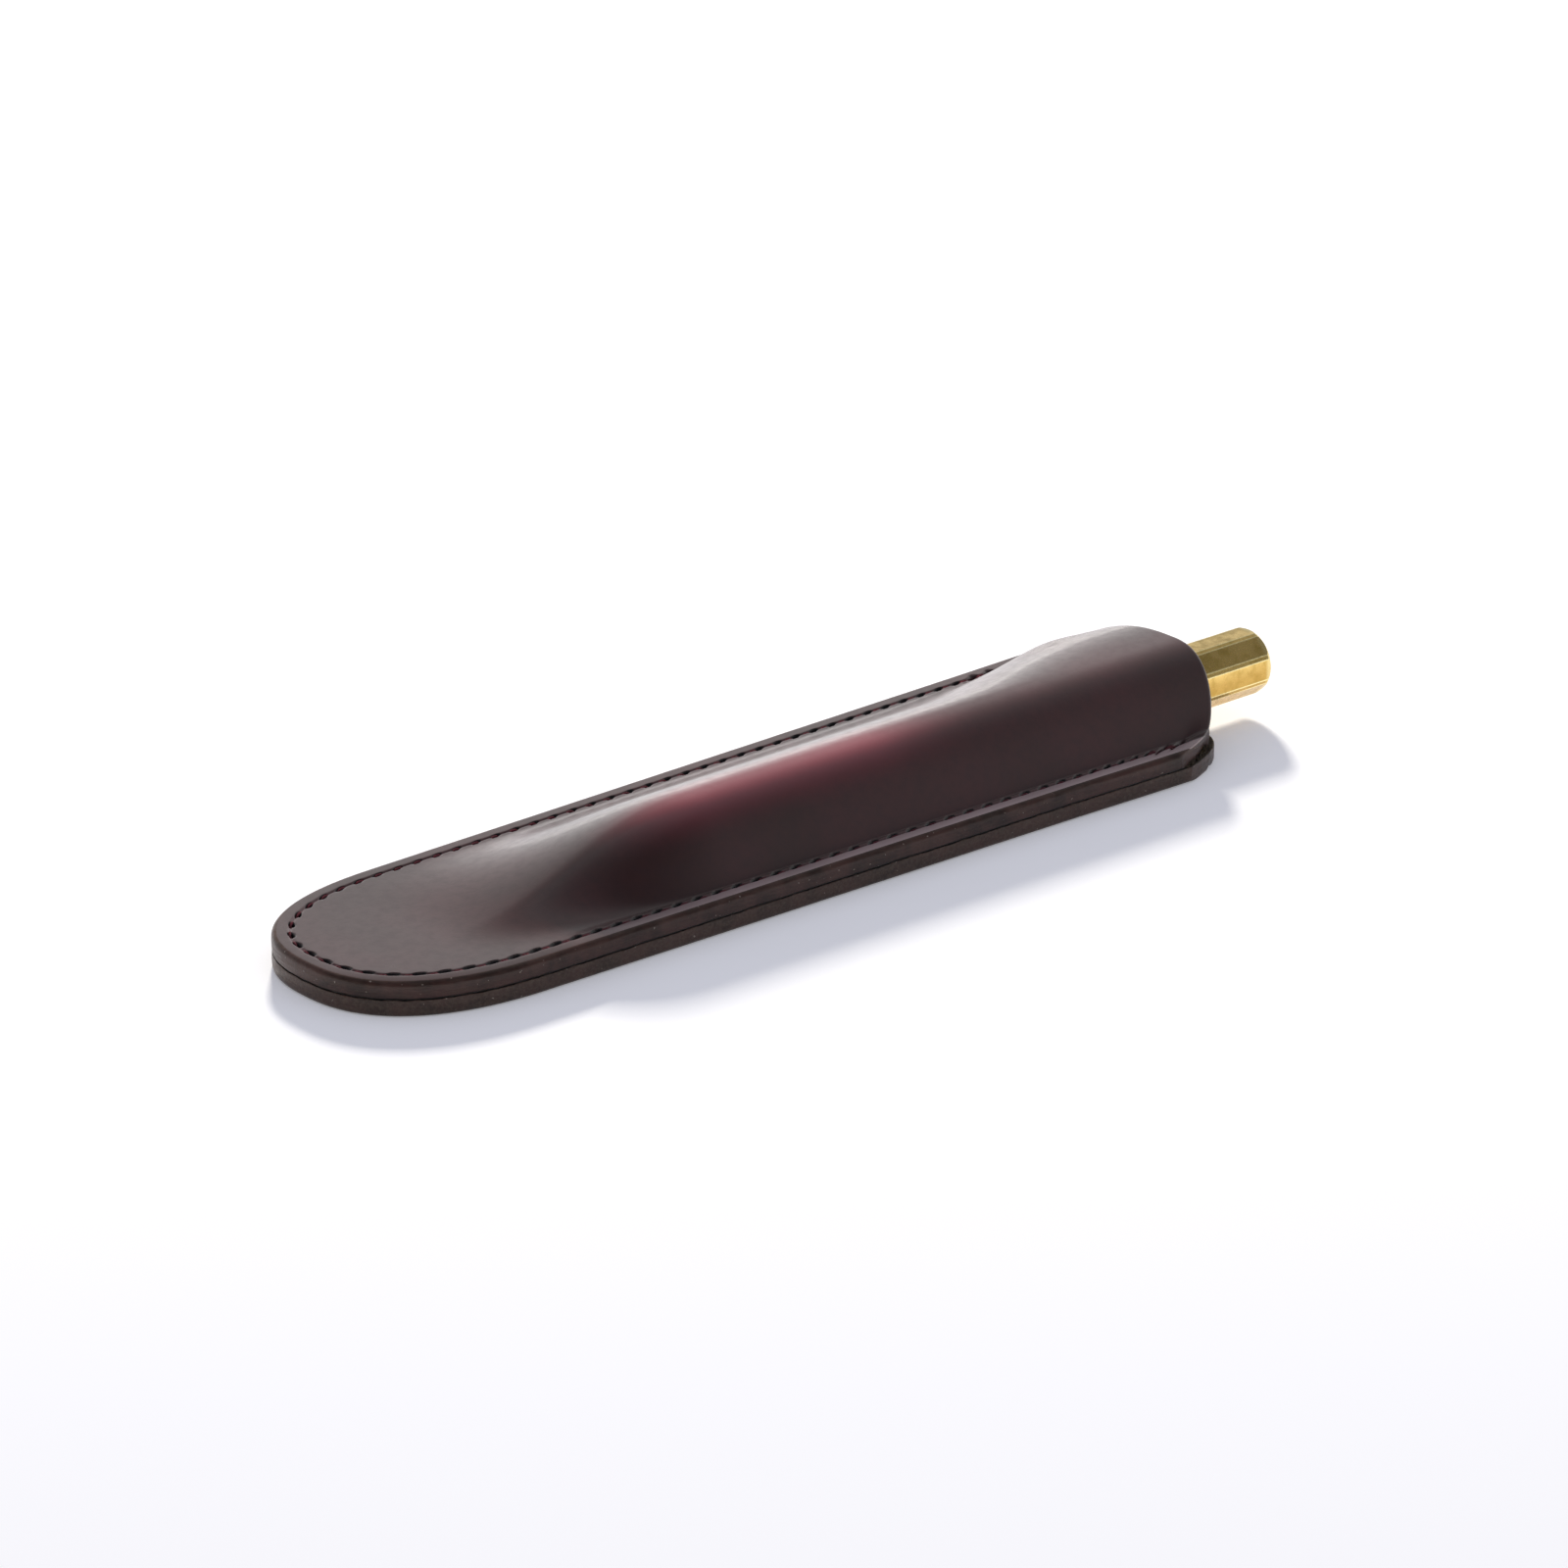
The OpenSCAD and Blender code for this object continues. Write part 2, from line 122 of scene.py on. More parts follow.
@dataclass(frozen=True, eq=False)
class Wire:
    """One output of a node, on which sums are done as on a number.

    Attributes:
        node: The node.
        key: Name or number of its output.
    """

    node: bpy.types.Node
    key: int | str = 0

    def done(self, operation: str, *others: "Wire | float") -> "Wire":
        """Does one sum on this and other values.

        Args:
            operation: Blender's name of the sum.
            others: Values after this one.

        Returns:
            The result.
        """
        values = dict(enumerate((self, *others)))
        return Wire(add(self.node.id_data, "ShaderNodeMath", values, operation=operation))

    def eased(self, low: float, high: float, start: float = 0.0, end: float = 1.0) -> "Wire":
        """Changes smoothly from one value to another while this goes from low to high.

        Args:
            low: Where the change starts.
            high: Where it ends.
            start: Result up to low.
            end: Result from high on.

        Returns:
            The result.
        """
        values = {"Value": self, "From Min": low, "From Max": high, "To Min": start, "To Max": end}
        return Wire(add(self.node.id_data, "ShaderNodeMapRange", values, interpolation_type="SMOOTHSTEP"))

    def __add__(self, other: "Wire | float") -> "Wire":
        """Sum of this and another value."""
        return self.done("ADD", other)

    def __sub__(self, other: "Wire | float") -> "Wire":
        """This less another value."""
        return self.done("SUBTRACT", other)

    def __rsub__(self, other: float) -> "Wire":
        """A number less this."""
        return self.done("MULTIPLY", -1.0).done("ADD", other)

    def __mul__(self, other: "Wire | float") -> "Wire":
        """Product of this and another value."""
        return self.done("MULTIPLY", other)

    def __truediv__(self, other: "Wire | float") -> "Wire":
        """This divided by another value."""
        return self.done("DIVIDE", other)

    def __pow__(self, power: float) -> "Wire":
        """This raised to a power."""
        return self.done("POWER", power)

    def __abs__(self) -> "Wire":
        """This without its sign."""
        return self.done("ABSOLUTE")


def layered(tree: bpy.types.NodeTree, base: str, *layers: tuple[Wire, str]) -> Wire:
    """Lays colours over one another.

    Args:
        tree: The material's node tree.
        base: sRGB hex colour at the bottom.
        layers: Share and sRGB hex colour of each layer, from the bottom up.

    Returns:
        The colour that shows.
    """
    colour: Wire | tuple[float, ...] = linear(base)
    for share, code in layers:
        mixed = add(tree, "ShaderNodeMix", {0: share, 6: colour, 7: linear(code)}, data_type="RGBA")
        colour = Wire(mixed, 2)
    return colour


@dataclass(frozen=True)
class Marks:
    """Irregular marks in a surface.

    Attributes:
        size: Their width in mm.
        detail: How many times finer marks lie in them.
        rough: How strong the finer ones are.
        finer: How many times narrower they are along y and along z.
    """

    size: float
    detail: float = 3.0
    rough: float = 0.5
    finer: tuple[float, float] = (1.0, 1.0)


def scattered(tree: bpy.types.NodeTree, place: Wire, *kinds: Marks) -> list[Wire]:
    """Scatters irregular marks over a surface.

    Args:
        tree: The material's node tree.
        place: The surface's own coordinates in metres.
        kinds: The kinds of marks.

    Returns:
        For each kind a strength from 0 to 1.
    """
    made = []
    for marks in kinds:
        per_metre = 1 / (marks.size * MM)
        scale = (per_metre, per_metre * marks.finer[0], per_metre * marks.finer[1])
        at = add(tree, "ShaderNodeMapping", {"Vector": place, "Scale": scale})
        values = {"Vector": at, "Scale": 1.0, "Detail": marks.detail, "Roughness": marks.rough}
        made.append(Wire(add(tree, "ShaderNodeTexNoise", values)))
    return made


def smooth(t: Rows) -> Rows:
    """Even step from 0 to 1, with no bend at its ends."""
    t = np.clip(t, 0, 1)
    return t * t * t * (10 - 15 * t + 6 * t * t)


def runs(points: Rows) -> Rows:
    """Length run along a line of points, from its first one."""
    steps = np.linalg.norm(np.diff(points, axis=0), axis=1)
    return np.concatenate([[0.0], np.cumsum(steps)])


@dataclass(frozen=True)
class Plan:
    """Outline and moulded section of the sleeve in mm, x from the closed end, as in the part's source."""

    # Outline: straight sides that widen to the mouth, and a rounded closed end
    length: float = 157.0
    end_w: float = 39.5
    mouth_w: float = 45.0
    end_l: float = 27.5
    end_round: float = 2.4
    # How far the mouth's near and far corners fall back, how evenly, and over what length
    mouth_fall: float = 13.5
    mouth_round: float = 6.5
    fall_l: float = 40.0
    far_fall: float = 3.2
    far_round: float = 6.8
    far_fall_l: float = 20.0
    back_fall: float = 0.85
    # Layers and seam
    leather: float = 2.6
    cement: float = 0.1
    seam_inset: float = 2.55
    foot_gap: float = 0.85
    seam_stop: float = 13.0
    pitch_wanted: float = 3.55
    # The near seam of the photograph runs on for two more stitches than the solid thread does
    near_extra: int = 2
    # Moulded part: its crest, its rise from the flat leather and the powers that round its two flanks
    crest_y: float = -6.2
    crest_h: float = 10.1
    rise_x0: float = 17.0
    rise_l: float = 48.0
    crown_near: float = 2.7
    foot_near: float = 1.25
    crown_far: float = 1.5
    foot_far: float = 1.42
    flare_l: float = 44.0
    mouth_crown: float = 2.5
    mouth_foot: float = 1.21
    # The near flank rises later than the source's, which has 4 and 0 here
    foot_early: float = 2.2
    early_ease: float = 1.0
    # Where the rows of the rounded end meet
    spine_x0: float = 16.0
    # Fillet at the near foot close to the mouth: height, half width, start before the mouth and run-in
    lip_fillet: float = 0.45
    lip_half_w: float = 1.2
    lip_start: float = 6.5
    lip_l: float = 6.0
    # Fuller far shoulder: height, middle before the mouth and from the middle line, and half widths
    shoulder: float = 1.0
    shoulder_back: float = 10.0
    shoulder_y: float = 11.5
    shoulder_l: float = 7.0
    shoulder_w: float = 4.2

    @property
    def film_z0(self) -> float:
        """Height of the cement's underside."""
        return self.leather

    @property
    def film_z1(self) -> float:
        """Height of the cement's top."""
        return self.leather + self.cement

    @property
    def flange_z(self) -> float:
        """Height of the flat margin."""
        return self.film_z1 + self.leather

    @property
    def foot_inset(self) -> float:
        """Distance from the edge to the foot of the moulded part."""
        return self.seam_inset + self.foot_gap

    def half(self, x: Rows) -> Rows:
        """Half the width that the straight sides have at x."""
        return (self.end_w + (self.mouth_w - self.end_w) * x / self.length) / 2

    def end_share(self, x: Rows) -> Rows:
        """Share of that half width that is left in the rounded closed end."""
        t = 1 - np.clip(x, 0, self.end_l) / self.end_l
        return (1 - t**self.end_round) ** (1 / self.end_round)

    def laid(self, x: Rows, y: Rows, share: float = 1.0) -> Rows:
        """Lets the mouth's corners fall back.

        Args:
            x: Places along a sleeve that is cut off square.
            y: Places across it.
            share: Share of the full fall.

        Returns:
            The real x of each point.
        """
        near = self.mouth_fall * smooth((x - self.length + self.fall_l) / self.fall_l)
        far = self.far_fall * smooth((x - self.length + self.far_fall_l) / self.far_fall_l)
        out = np.minimum(np.abs(y) / self.half(x), 1.0)
        return x - share * np.where(y > 0, far * out**self.far_round, near * out**self.mouth_round)

    def dome(self, x: Rows, y: Rows) -> Rows:
        """Shapes the moulded front.

        Args:
            x: Places along the sleeve.
            y: Places across it.

        Returns:
            Height above the flat margin.
        """
        foot = np.maximum(self.half(x) * self.end_share(x) - self.foot_inset, 1.0)
        far = np.clip((y - self.crest_y) / (foot - self.crest_y), 0, 1)
        near = np.clip((self.crest_y - y) / (foot + self.crest_y), 0, 1)
        rise = smooth((x - self.rise_x0) / self.rise_l)
        early = 1 - rise
        flare = smooth((x - self.length + self.flare_l) / self.flare_l)
        crown_far = self.crown_far + (self.mouth_crown - self.crown_far) * flare
        foot_far = self.foot_far + (self.mouth_foot - self.foot_far) * flare
        far_flank = (1 - far**crown_far) ** foot_far
        near_flank = 1 - near ** (self.crown_near - self.early_ease * early)
        near_flank = near_flank ** (self.foot_near + self.foot_early * early)
        crown = np.where(y > self.crest_y, far_flank, near_flank)
        lip = smooth((x - self.length + self.lip_start) / self.lip_l) * (y < 0)
        fillet = self.lip_fillet * lip * np.exp(-(((np.abs(y) - foot) / self.lip_half_w) ** 2))
        off_x = (x - self.length + self.shoulder_back) / self.shoulder_l
        off_y = (y - self.shoulder_y) / self.shoulder_w
        fuller = self.shoulder * np.exp(-(off_x**2) - off_y**2) * (crown > 0)
        return self.crest_h * rise * crown + fillet + fuller

    def slopes(self, x: Rows, y: Rows) -> tuple[Rows, Rows]:
        """Finds how steep the moulded front is.

        Args:
            x: Places along the sleeve.
            y: Places across it.

        Returns:
            Slope along x and slope along y.
        """
        step = 0.02
        return (
            (self.dome(x + step, y) - self.dome(x - step, y)) / (2 * step),
            (self.dome(x, y + step) - self.dome(x, y - step)) / (2 * step),
        )


@dataclass
class Rim:
    """Stations round the edge, from the mouth's near corner round the closed end to its far corner.

    Attributes:
        plan: Sizes of the sleeve.
        side_steps: Steps along each straight side.
        end_steps: Steps along each half of the rounded end.
        samples: Points that each half is measured with.
        points: The stations.
        inward: Direction from each station into the sleeve.
        seam_run: How far along the seam each station is, from the solid thread's near end.
    """

    plan: Plan
    side_steps: int = 400
    end_steps: int = 100
    samples: int = 4000
    points: Rows = field(init=False)
    inward: Rows = field(init=False)
    seam_run: Rows = field(init=False)

    def __post_init__(self) -> None:
        """Lays the stations out by length and finds the way inwards at each."""
        plan = self.plan
        a = np.linspace(math.pi / 2, 0, self.samples)
        curve_x = plan.end_l * (1 - np.clip(np.cos(a), 0, 1) ** (2 / plan.end_round))
        curve_y = -plan.half(curve_x) * np.clip(np.sin(a), 0, 1) ** (2 / plan.end_round)
        run = runs(np.stack([curve_x, curve_y], 1))
        even = np.linspace(0, run[-1], self.end_steps + 1)
        end = np.stack([np.interp(even, run, curve_x), np.interp(even, run, curve_y)], 1)
        end[0] = [plan.end_l, -float(plan.half(np.array(plan.end_l)))]
        end[-1] = [0.0, 0.0]
        x = np.linspace(plan.length, plan.end_l, self.side_steps + 1)[:-1]
        near = np.concatenate([np.stack([x, -plan.half(x)], 1), end])
        self.points = np.concatenate([near, near[-2::-1] * [1, -1]])
        along = np.gradient(self.points, axis=0)
        along /= np.linalg.norm(along, axis=1)[:, None]
        self.inward = np.stack([along[:, 1], -along[:, 0]], 1)
        seam = self.inset(plan.seam_inset)
        run = runs(seam)
        start = np.interp(plan.seam_stop - plan.length, -seam[: self.tip, 0], run[: self.tip])
        self.seam_run = run - start

    @property
    def tip(self) -> int:
        """Number of the station at the tip of the closed end."""
        return self.side_steps + self.end_steps

    @property
    def seam_length(self) -> float:
        """Length of the solid seam, whose ends are equally far from the mouth."""
        return 2 * float(self.seam_run[self.tip])

    @property
    def stitches(self) -> int:
        """Number of stitches in the solid seam."""
        return int(self.seam_length / self.plan.pitch_wanted)

    @property
    def pitch(self) -> float:
        """Real length of a stitch, of which the solid seam holds a whole number."""
        return self.seam_length / self.stitches

    @property
    def seam_start(self) -> float:
        """Run at which the first stitch starts, below nought."""
        return -self.plan.near_extra * self.pitch

    def inset(self, distance: float | Rows) -> Rows:
        """The stations moved inwards."""
        return self.points + self.inward * distance

    def spine(self) -> Rows:
        """Finds where the rows meet on the middle line.

        Returns:
            The point that each station's row runs to.
        """
        x = self.points[:, 0]
        plan = self.plan
        end = plan.spine_x0 + (plan.end_l - plan.spine_x0) * x / plan.end_l
        return np.stack([np.where(x >= plan.end_l, x, end), np.zeros_like(x)], 1)


def frame_points(points: Rows, plan: Plan) -> Rows:
    """Turns points to metres in the frame's axes.

    Args:
        points: Points in mm from the closed end.
        plan: Sizes of the sleeve.

    Returns:
        A row for each point.
    """
    moved = points.reshape(-1, 3).copy()
    moved[:, 0] -= plan.length / 2
    return moved * MM


def new_piece(name: str, mesh: bpy.types.Mesh) -> bpy.types.Object:
    """Makes a smooth-shaded object for a mesh whose place is in its vertices.

    Args:
        name: Name of the piece.
        mesh: Its mesh.

    Returns:
        The object.
    """
    mesh.shade_smooth()
    piece = bpy.data.objects.new(name, mesh)
    bpy.context.scene.collection.objects.link(piece)
    return piece


def new_group(name: str, inputs: dict[str, str]) -> tuple[bpy.types.GeometryNodeTree, dict[str, Wire]]:
    """Starts a Geometry Nodes group that works on a mesh.

    Args:
        name: Name of the group.
        inputs: Kind of socket of each further input, such as Float.

    Returns:
        The group, and a wire for each input.
    """
    tree = bpy.data.node_groups.new(name, "GeometryNodeTree")
    labels = {"Geometry": "Geometry", **inputs}
    for label, kind in labels.items():
        tree.interface.new_socket(label, in_out="INPUT", socket_type="NodeSocket" + kind)
    tree.interface.new_socket("Geometry", in_out="OUTPUT", socket_type="NodeSocketGeometry")
    given = add(tree, "NodeGroupInput")
    return tree, {label: Wire(given, label) for label in labels}


def grown(mesh: bpy.types.Mesh, tree: bpy.types.GeometryNodeTree, sizes: dict, name: str) -> bpy.types.Object:
    """Runs a node group on a mesh and keeps only the plain mesh that it makes.

    Args:
        mesh: What the group works on.
        tree: The node group.
        sizes: Value for each named input.
        name: Name of the piece.

    Returns:
        The piece.
    """
    holder = bpy.data.objects.new(mesh.name, mesh)
    bpy.context.scene.collection.objects.link(holder)
    modifier = holder.modifiers.new(tree.name, "NODES")
    modifier.node_group = tree
    for item in tree.interface.items_tree:
        if item.item_type == "SOCKET" and item.in_out == "INPUT" and item.name in sizes:
            modifier[item.identifier] = sizes[item.name]
    graph = bpy.context.evaluated_depsgraph_get()
    graph.update()
    made = bpy.data.meshes.new_from_object(holder.evaluated_get(graph), depsgraph=graph)
    bpy.data.objects.remove(holder)
    made.name = name
    return new_piece(name, made)


@dataclass
class Loft:
    """One layer of leather: its outer skin over all stations and rows, and a coarser inner skin.

    Attributes:
        plan: Sizes of the sleeve.
        rim: Stations round its edge.
        side: Which layer it is.
    """

    plan: Plan
    rim: Rim
    side: Side
    # Rounding of the long edge, of the mouth's edge and of the mouth's inner edge
    arris: float = 0.7
    mouth_arris: float = 0.6
    lip: float = 0.3
    # Cut edge, from the inner skin up: depth of each row as a share of the leather, and how far in it stands
    edge_depths: tuple[float, ...] = (1.0, 0.965, 0.92, 0.85, 0.72, 0.6, 0.48, 0.38)
    edge_ins: tuple[float, ...] = (0.13, 0.05, 0.012, 0.0, -0.02, -0.03, -0.02)
    arris_rows: int = 8
    # Thread's groove in the front and in the back: half width, depth and how sharp it is; its bell's width as
    # a share of that half width, and rows over it and outside it
    front_groove: tuple[float, float, float] = (0.5, 0.2, 1.6)
    back_groove: tuple[float, float, float] = (0.62, 0.85, 0.9)
    groove_bell: float = 0.55
    groove_rows: int = 13
    flat_rows: int = 5
    # What is left level before the foot of the moulded part
    foot_clear: float = 0.12
    # Rows over the moulded part and across the flat back, and how they crowd towards the foot
    dome_rows: int = 49
    dome_crowding: float = 1.35
    back_rows: int = 30
    back_crowding: float = 1.25
    # Awl's slits: length, width, depth, slant, place inwards of the thread and widening where it is tied off
    slit_l: float = 1.75
    slit_w: float = 0.9
    slit_d: float = 0.75
    slit_lean: float = 0.2
    slit_in: float = 0.1
    tied_widening: float = 1.45
    tied_count: int = 2
    # Where a slit's wall starts and how much of the slit it takes up, both as shares of the slit's oval
    slit_rim: float = 1.25
    slit_wall: float = 0.9
    # How far the near margin's edge hangs, what is left level beside the thread, how far round the closed end
    # it hangs, and how sharply it bends
    margin_fall: float = 0.24
    margin_level: float = 0.3
    margin_turn: float = 0.3
    margin_bend: float = 1.4
    # Mouth: rows on its rounding, its cut edge and its inner edge, and what is left free behind the rounding
    mouth_rows: int = 7
    mouth_wall_rows: int = 5
    lip_rows: int = 5
    mouth_clear: float = 0.3
    # Depth below which the inner edge fades towards the sleeve's sides, and where along a row that starts
    lip_share: float = 0.6
    lip_fade: float = 0.2
    # Distance from the foot that the guide counts up to at the spine
    guide_reach: float = 10.0
    # Inner skin: its first station, stations in one step, rows before and over the moulded part, crowding
    inner_first: int = 4
    inner_step: int = 5
    inner_ins: tuple[float, float] = (0.5, 1.5)
    inner_clear: float = 0.3
    inner_rows: int = 22
    inner_crowding: float = 1.2

    def edge_rows(self) -> tuple[Rows, Rows]:
        """Rows on the cut edge and its rounded arris.

        Returns:
            How far each row is in from the edge, and its depth below the skin as a share of the leather.
        """
        a = np.linspace(0, math.pi / 2, self.arris_rows)
        arc_in = self.arris * (1 - np.cos(a))
        arc = self.arris * (1 - np.sin(a)) / self.plan.leather
        wall = np.array(self.edge_depths)
        least = wall[-1]
        scale = (wall - least) / (1 - least) * (1 - arc[0]) + arc[0]
        return np.concatenate([self.edge_ins, arc_in]), np.concatenate([scale[:-1], arc])

    def groove(self) -> tuple[Rows, Rows]:
        """Rows of the flat margin with the groove that the thread lies in.

        Returns:
            Distance of each row from the edge, and its depth in mm.
        """
        plan = self.plan
        half_w, depth, sharp = self.front_groove if self.side is Side.FRONT else self.back_groove
        s = np.linspace(-1, 1, self.groove_rows)
        inset = plan.seam_inset + s * half_w
        sink = depth * np.exp(-((s / self.groove_bell) ** 2) * sharp)
        sink[[0, -1]] = 0.0
        flat_out = np.linspace(self.arris, plan.seam_inset - half_w, self.flat_rows)[1:-1]
        rows = np.concatenate([flat_out, inset, [plan.foot_inset - self.foot_clear]])
        return rows, np.concatenate([np.zeros(len(flat_out)), sink, [0.0]])

    def slit(self, run: Rows, inset: float) -> Rows:
        """Cuts the awl's slits, one between each two stitches and wide ones where the thread is tied off.

        Args:
            run: Places along the seam.
            inset: Distance from the edge.

        Returns:
            Depth in mm.
        """
        if self.side is Side.BACK:
            return np.zeros_like(run)
        rim = self.rim
        turn = np.round(run / rim.pitch)
        first, last = -self.plan.near_extra, rim.stitches
        along = run - turn * rim.pitch
        side = inset - self.plan.seam_inset - self.slit_in + self.slit_lean * along
        tied = (turn < first + self.tied_count - 0.5) | (turn > last - self.tied_count + 0.5)
        wide = np.where(tied, self.tied_widening, 1.0)
        oval = (2 * along / (self.slit_l * wide)) ** 2 + (2 * side / (self.slit_w * wide)) ** 2
        sewn = (turn > first - 0.5) & (turn < last + 0.5)
        return self.slit_d * smooth((self.slit_rim - oval) / self.slit_wall) * sewn

    def droop(self, inset: float, inward: Rows) -> Rows:
        """Lets the near margin fall away towards its edge, where the stitches pull it down.

        Args:
            inset: Distance from the edge.
            inward: Direction from each station into the sleeve.

        Returns:
            How far each station's point falls, in mm.
        """
        if self.side is Side.BACK:
            return np.zeros(len(inward))
        reach = self.plan.seam_inset - self.margin_level
        near = np.clip(inward[:, 1] + self.margin_turn, 0, 1)
        return self.margin_fall * near * max(1 - inset / reach, 0.0) ** self.margin_bend

    def dome_shares(self) -> Rows:
        """Spreads the rows over the moulded part.

        Returns:
            Where each stands, as a share of the way from the foot to the spine.
        """
        if self.side is Side.BACK:
            return np.linspace(0, 1, self.back_rows) ** self.back_crowding
        return np.linspace(0, 1, self.dome_rows) ** self.dome_crowding

    def stations(self) -> tuple[Rows, Rows, Rows]:
        """Stations of the outer skin with those of the mouth's cut edge added at both ends.

        Returns:
            Number of the rim station that each one follows, how far it lies behind the mouth's edge where it
            belongs to the mouth's rounding (else -1), and its depth as a share of the leather.
        """
        leather, stations = self.plan.leather, self.rim.points
        a = np.linspace(0, math.pi / 2, self.mouth_rows)
        low = np.linspace(0, math.pi / 2, self.lip_rows)[1:]
        depth = self.mouth_arris * (1 - np.cos(a)) / leather
        wall = np.linspace(depth[-1], 1 - self.lip / leather, self.mouth_wall_rows)[1:]
        depth = np.concatenate([depth, wall, 1 - self.lip * (1 - np.sin(low)) / leather])
        back = [self.mouth_arris * (1 - np.sin(a)), np.zeros(len(wall)), self.lip * (1 - np.cos(low))]
        back = np.concatenate(back)
        index = np.arange(len(stations))
        cut = self.plan.length - self.mouth_arris - self.mouth_clear
        first = np.searchsorted(-stations[: self.rim.tip, 0], -cut)
        body = index[first : len(index) - first]
        followed = np.concatenate([np.zeros(len(back), int), body, np.full(len(back), index[-1])])
        behind = np.concatenate([back[::-1], np.full(len(body), -1.0), back])
        share = np.concatenate([depth[::-1], np.zeros(len(body)), depth])
        return followed, behind, share

    def skin(self, x: Rows, y: Rows, drop: Rows) -> Rows:
        """Puts points on the leather or in it.

        Args:
            x: Places along a sleeve that is cut off square.
            y: Places across it.
            drop: Depth of each point as a share of the leather, 0 on the outer skin and 1 on the inner.

        Returns:
            The points in mm.
        """
        plan = self.plan
        if self.side is Side.BACK:
            return np.stack([plan.laid(x, y, plan.back_fall), y, plan.film_z0 * drop], -1)
        gx, gy = plan.slopes(x, y)
        n = np.stack([-gx, -gy, np.ones_like(gx)], -1)
        n /= np.linalg.norm(n, axis=-1, keepdims=True)
        points = np.stack([plan.laid(x, y), y, plan.flange_z + plan.dome(x, y)], -1)
        points = points - n * (plan.leather * drop)[..., None]
        points[..., 2] = np.maximum(points[..., 2], plan.film_z1)
        return points

    def outer(self) -> tuple[Rows, Rows]:
        """Grid of the outer skin, stations by rows.

        Returns:
            Points in mm, and for each the run along the seam and the distance from the edge.
        """
        rim, plan = self.rim, self.plan
        followed, behind, mouth_share = self.stations()
        base, inward, spine = rim.points[followed], rim.inward[followed], rim.spine()[followed]
        run = rim.seam_run[followed]
        flat_in, flat_sink = self.groove()
        edge_in, edge_share = self.edge_rows()
        margin = [*zip(edge_in, edge_share), *zip(flat_in, flat_sink / plan.leather)]
        rows, depths, insets = [], [], []
        for inset, share in margin:
            fallen = self.droop(inset, inward) / plan.leather
            rows.append(base + inward * inset)
            depths.append(share * (1 - fallen) + fallen + self.slit(run, inset) / plan.leather)
            insets.append(inset)
        foot = base + inward * plan.foot_inset
        for s in self.dome_shares():
            rows.append(foot + (spine - foot) * s)
            depths.append(np.zeros(len(base)))
            insets.append(plan.foot_inset + s * self.guide_reach)
        grid, side_share, insets = np.stack(rows, 1), np.stack(depths, 1), np.array(insets)
        at_mouth = behind >= 0
        faded = np.clip((insets - self.lip_fade) / plan.foot_inset, 0, 1)[None, :]
        at_lip = (mouth_share > self.lip_share)[:, None]
        back = np.maximum(behind, 0)[:, None] * np.where(at_lip, faded, 1.0)
        x = np.where(at_mouth[:, None], plan.length - back, grid[:, :, 0])
        drop = 1 - (1 - side_share) * (1 - mouth_share[:, None])
        points = self.skin(x, grid[:, :, 1], drop)
        way = np.where(np.arange(len(run)) < len(run) / 2, 1.0, -1.0)
        run = np.where(at_mouth, run + way * back[:, 0], run)
        guide = np.stack(np.broadcast_arrays(run[:, None], insets[None, :]), -1)
        return points, guide

    def inner(self) -> Rows:
        """Grid of the inner skin.

        Returns:
            Points in mm, stations by rows.
        """
        rim, plan = self.rim, self.plan
        first, step = self.inner_first, self.inner_step
        keep = np.unique(np.concatenate([np.arange(first, rim.tip, step), [rim.tip]]))
        keep = np.concatenate([keep, (2 * rim.tip - keep)[-2::-1]])
        base, inward, spine = rim.points[keep], rim.inward[keep], rim.spine()[keep]
        foot = base + inward * plan.foot_inset
        shares = np.linspace(0, 1, self.inner_rows) ** self.inner_crowding
        grid = [base + inward * i for i in (*self.inner_ins, plan.foot_inset - self.inner_clear)]
        grid += [foot + (spine - foot) * s for s in shares]
        plane = np.stack(grid, 1)
        return self.skin(plane[:, :, 0], plane[:, :, 1], np.ones(plane.shape[:2]))


def grid_faces(stations: int, rows: int, offset: int) -> tuple[Rows, Rows]:
    """Faces of a grid whose two halves share the points of its last row.

    Args:
        stations: Number of stations.
        rows: Number of rows.
        offset: Number of the grid's first point.

    Returns:
        Quads, and the number of the point for each station and row.
    """
    index = offset + np.arange(stations * rows).reshape(stations, rows)
    mirror = np.minimum(np.arange(stations), stations - 1 - np.arange(stations))
    index[:, -1] = index[mirror, -1]
    a, b, c, d = index[:-1, :-1], index[1:, :-1], index[1:, 1:], index[:-1, 1:]
    return np.stack([a, b, c, d], -1).reshape(-1, 4), index


def border(index: Rows) -> list[int]:
    """Points round such a grid's open border: its first row, then its last station to the spine and back."""
    return [int(i) for i in (*index[:, 0], *index[-1, 1:], *index[0, -2:0:-1])]


def zipped(points: Rows, fine: list[int], coarse: list[int]) -> list[tuple[int, int, int]]:
    """Joins two closed borders that run the same way round, matched by the way that each has come.

    Args:
        points: All points.
        fine: Numbers of the points of the border that has more of them.
        coarse: Numbers of the other's.

    Returns:
        Triangles between them.
    """
    faces = []
    share_f, share_c = (runs(points[loop + loop[:1]]) for loop in (fine, coarse))
    share_f, share_c = share_f / share_f[-1], share_c / share_c[-1]
    i = j = 0
    while i < len(fine) or j < len(coarse):
        next_f = share_f[i + 1] if i < len(fine) else 2.0
        next_c = share_c[j + 1] if j < len(coarse) else 2.0
        a, b = fine[i % len(fine)], coarse[j % len(coarse)]
        if next_f <= next_c:
            i += 1
            faces.append((a, fine[i % len(fine)], b))
        else:
            j += 1
            faces.append((a, coarse[j % len(coarse)], b))
    return faces


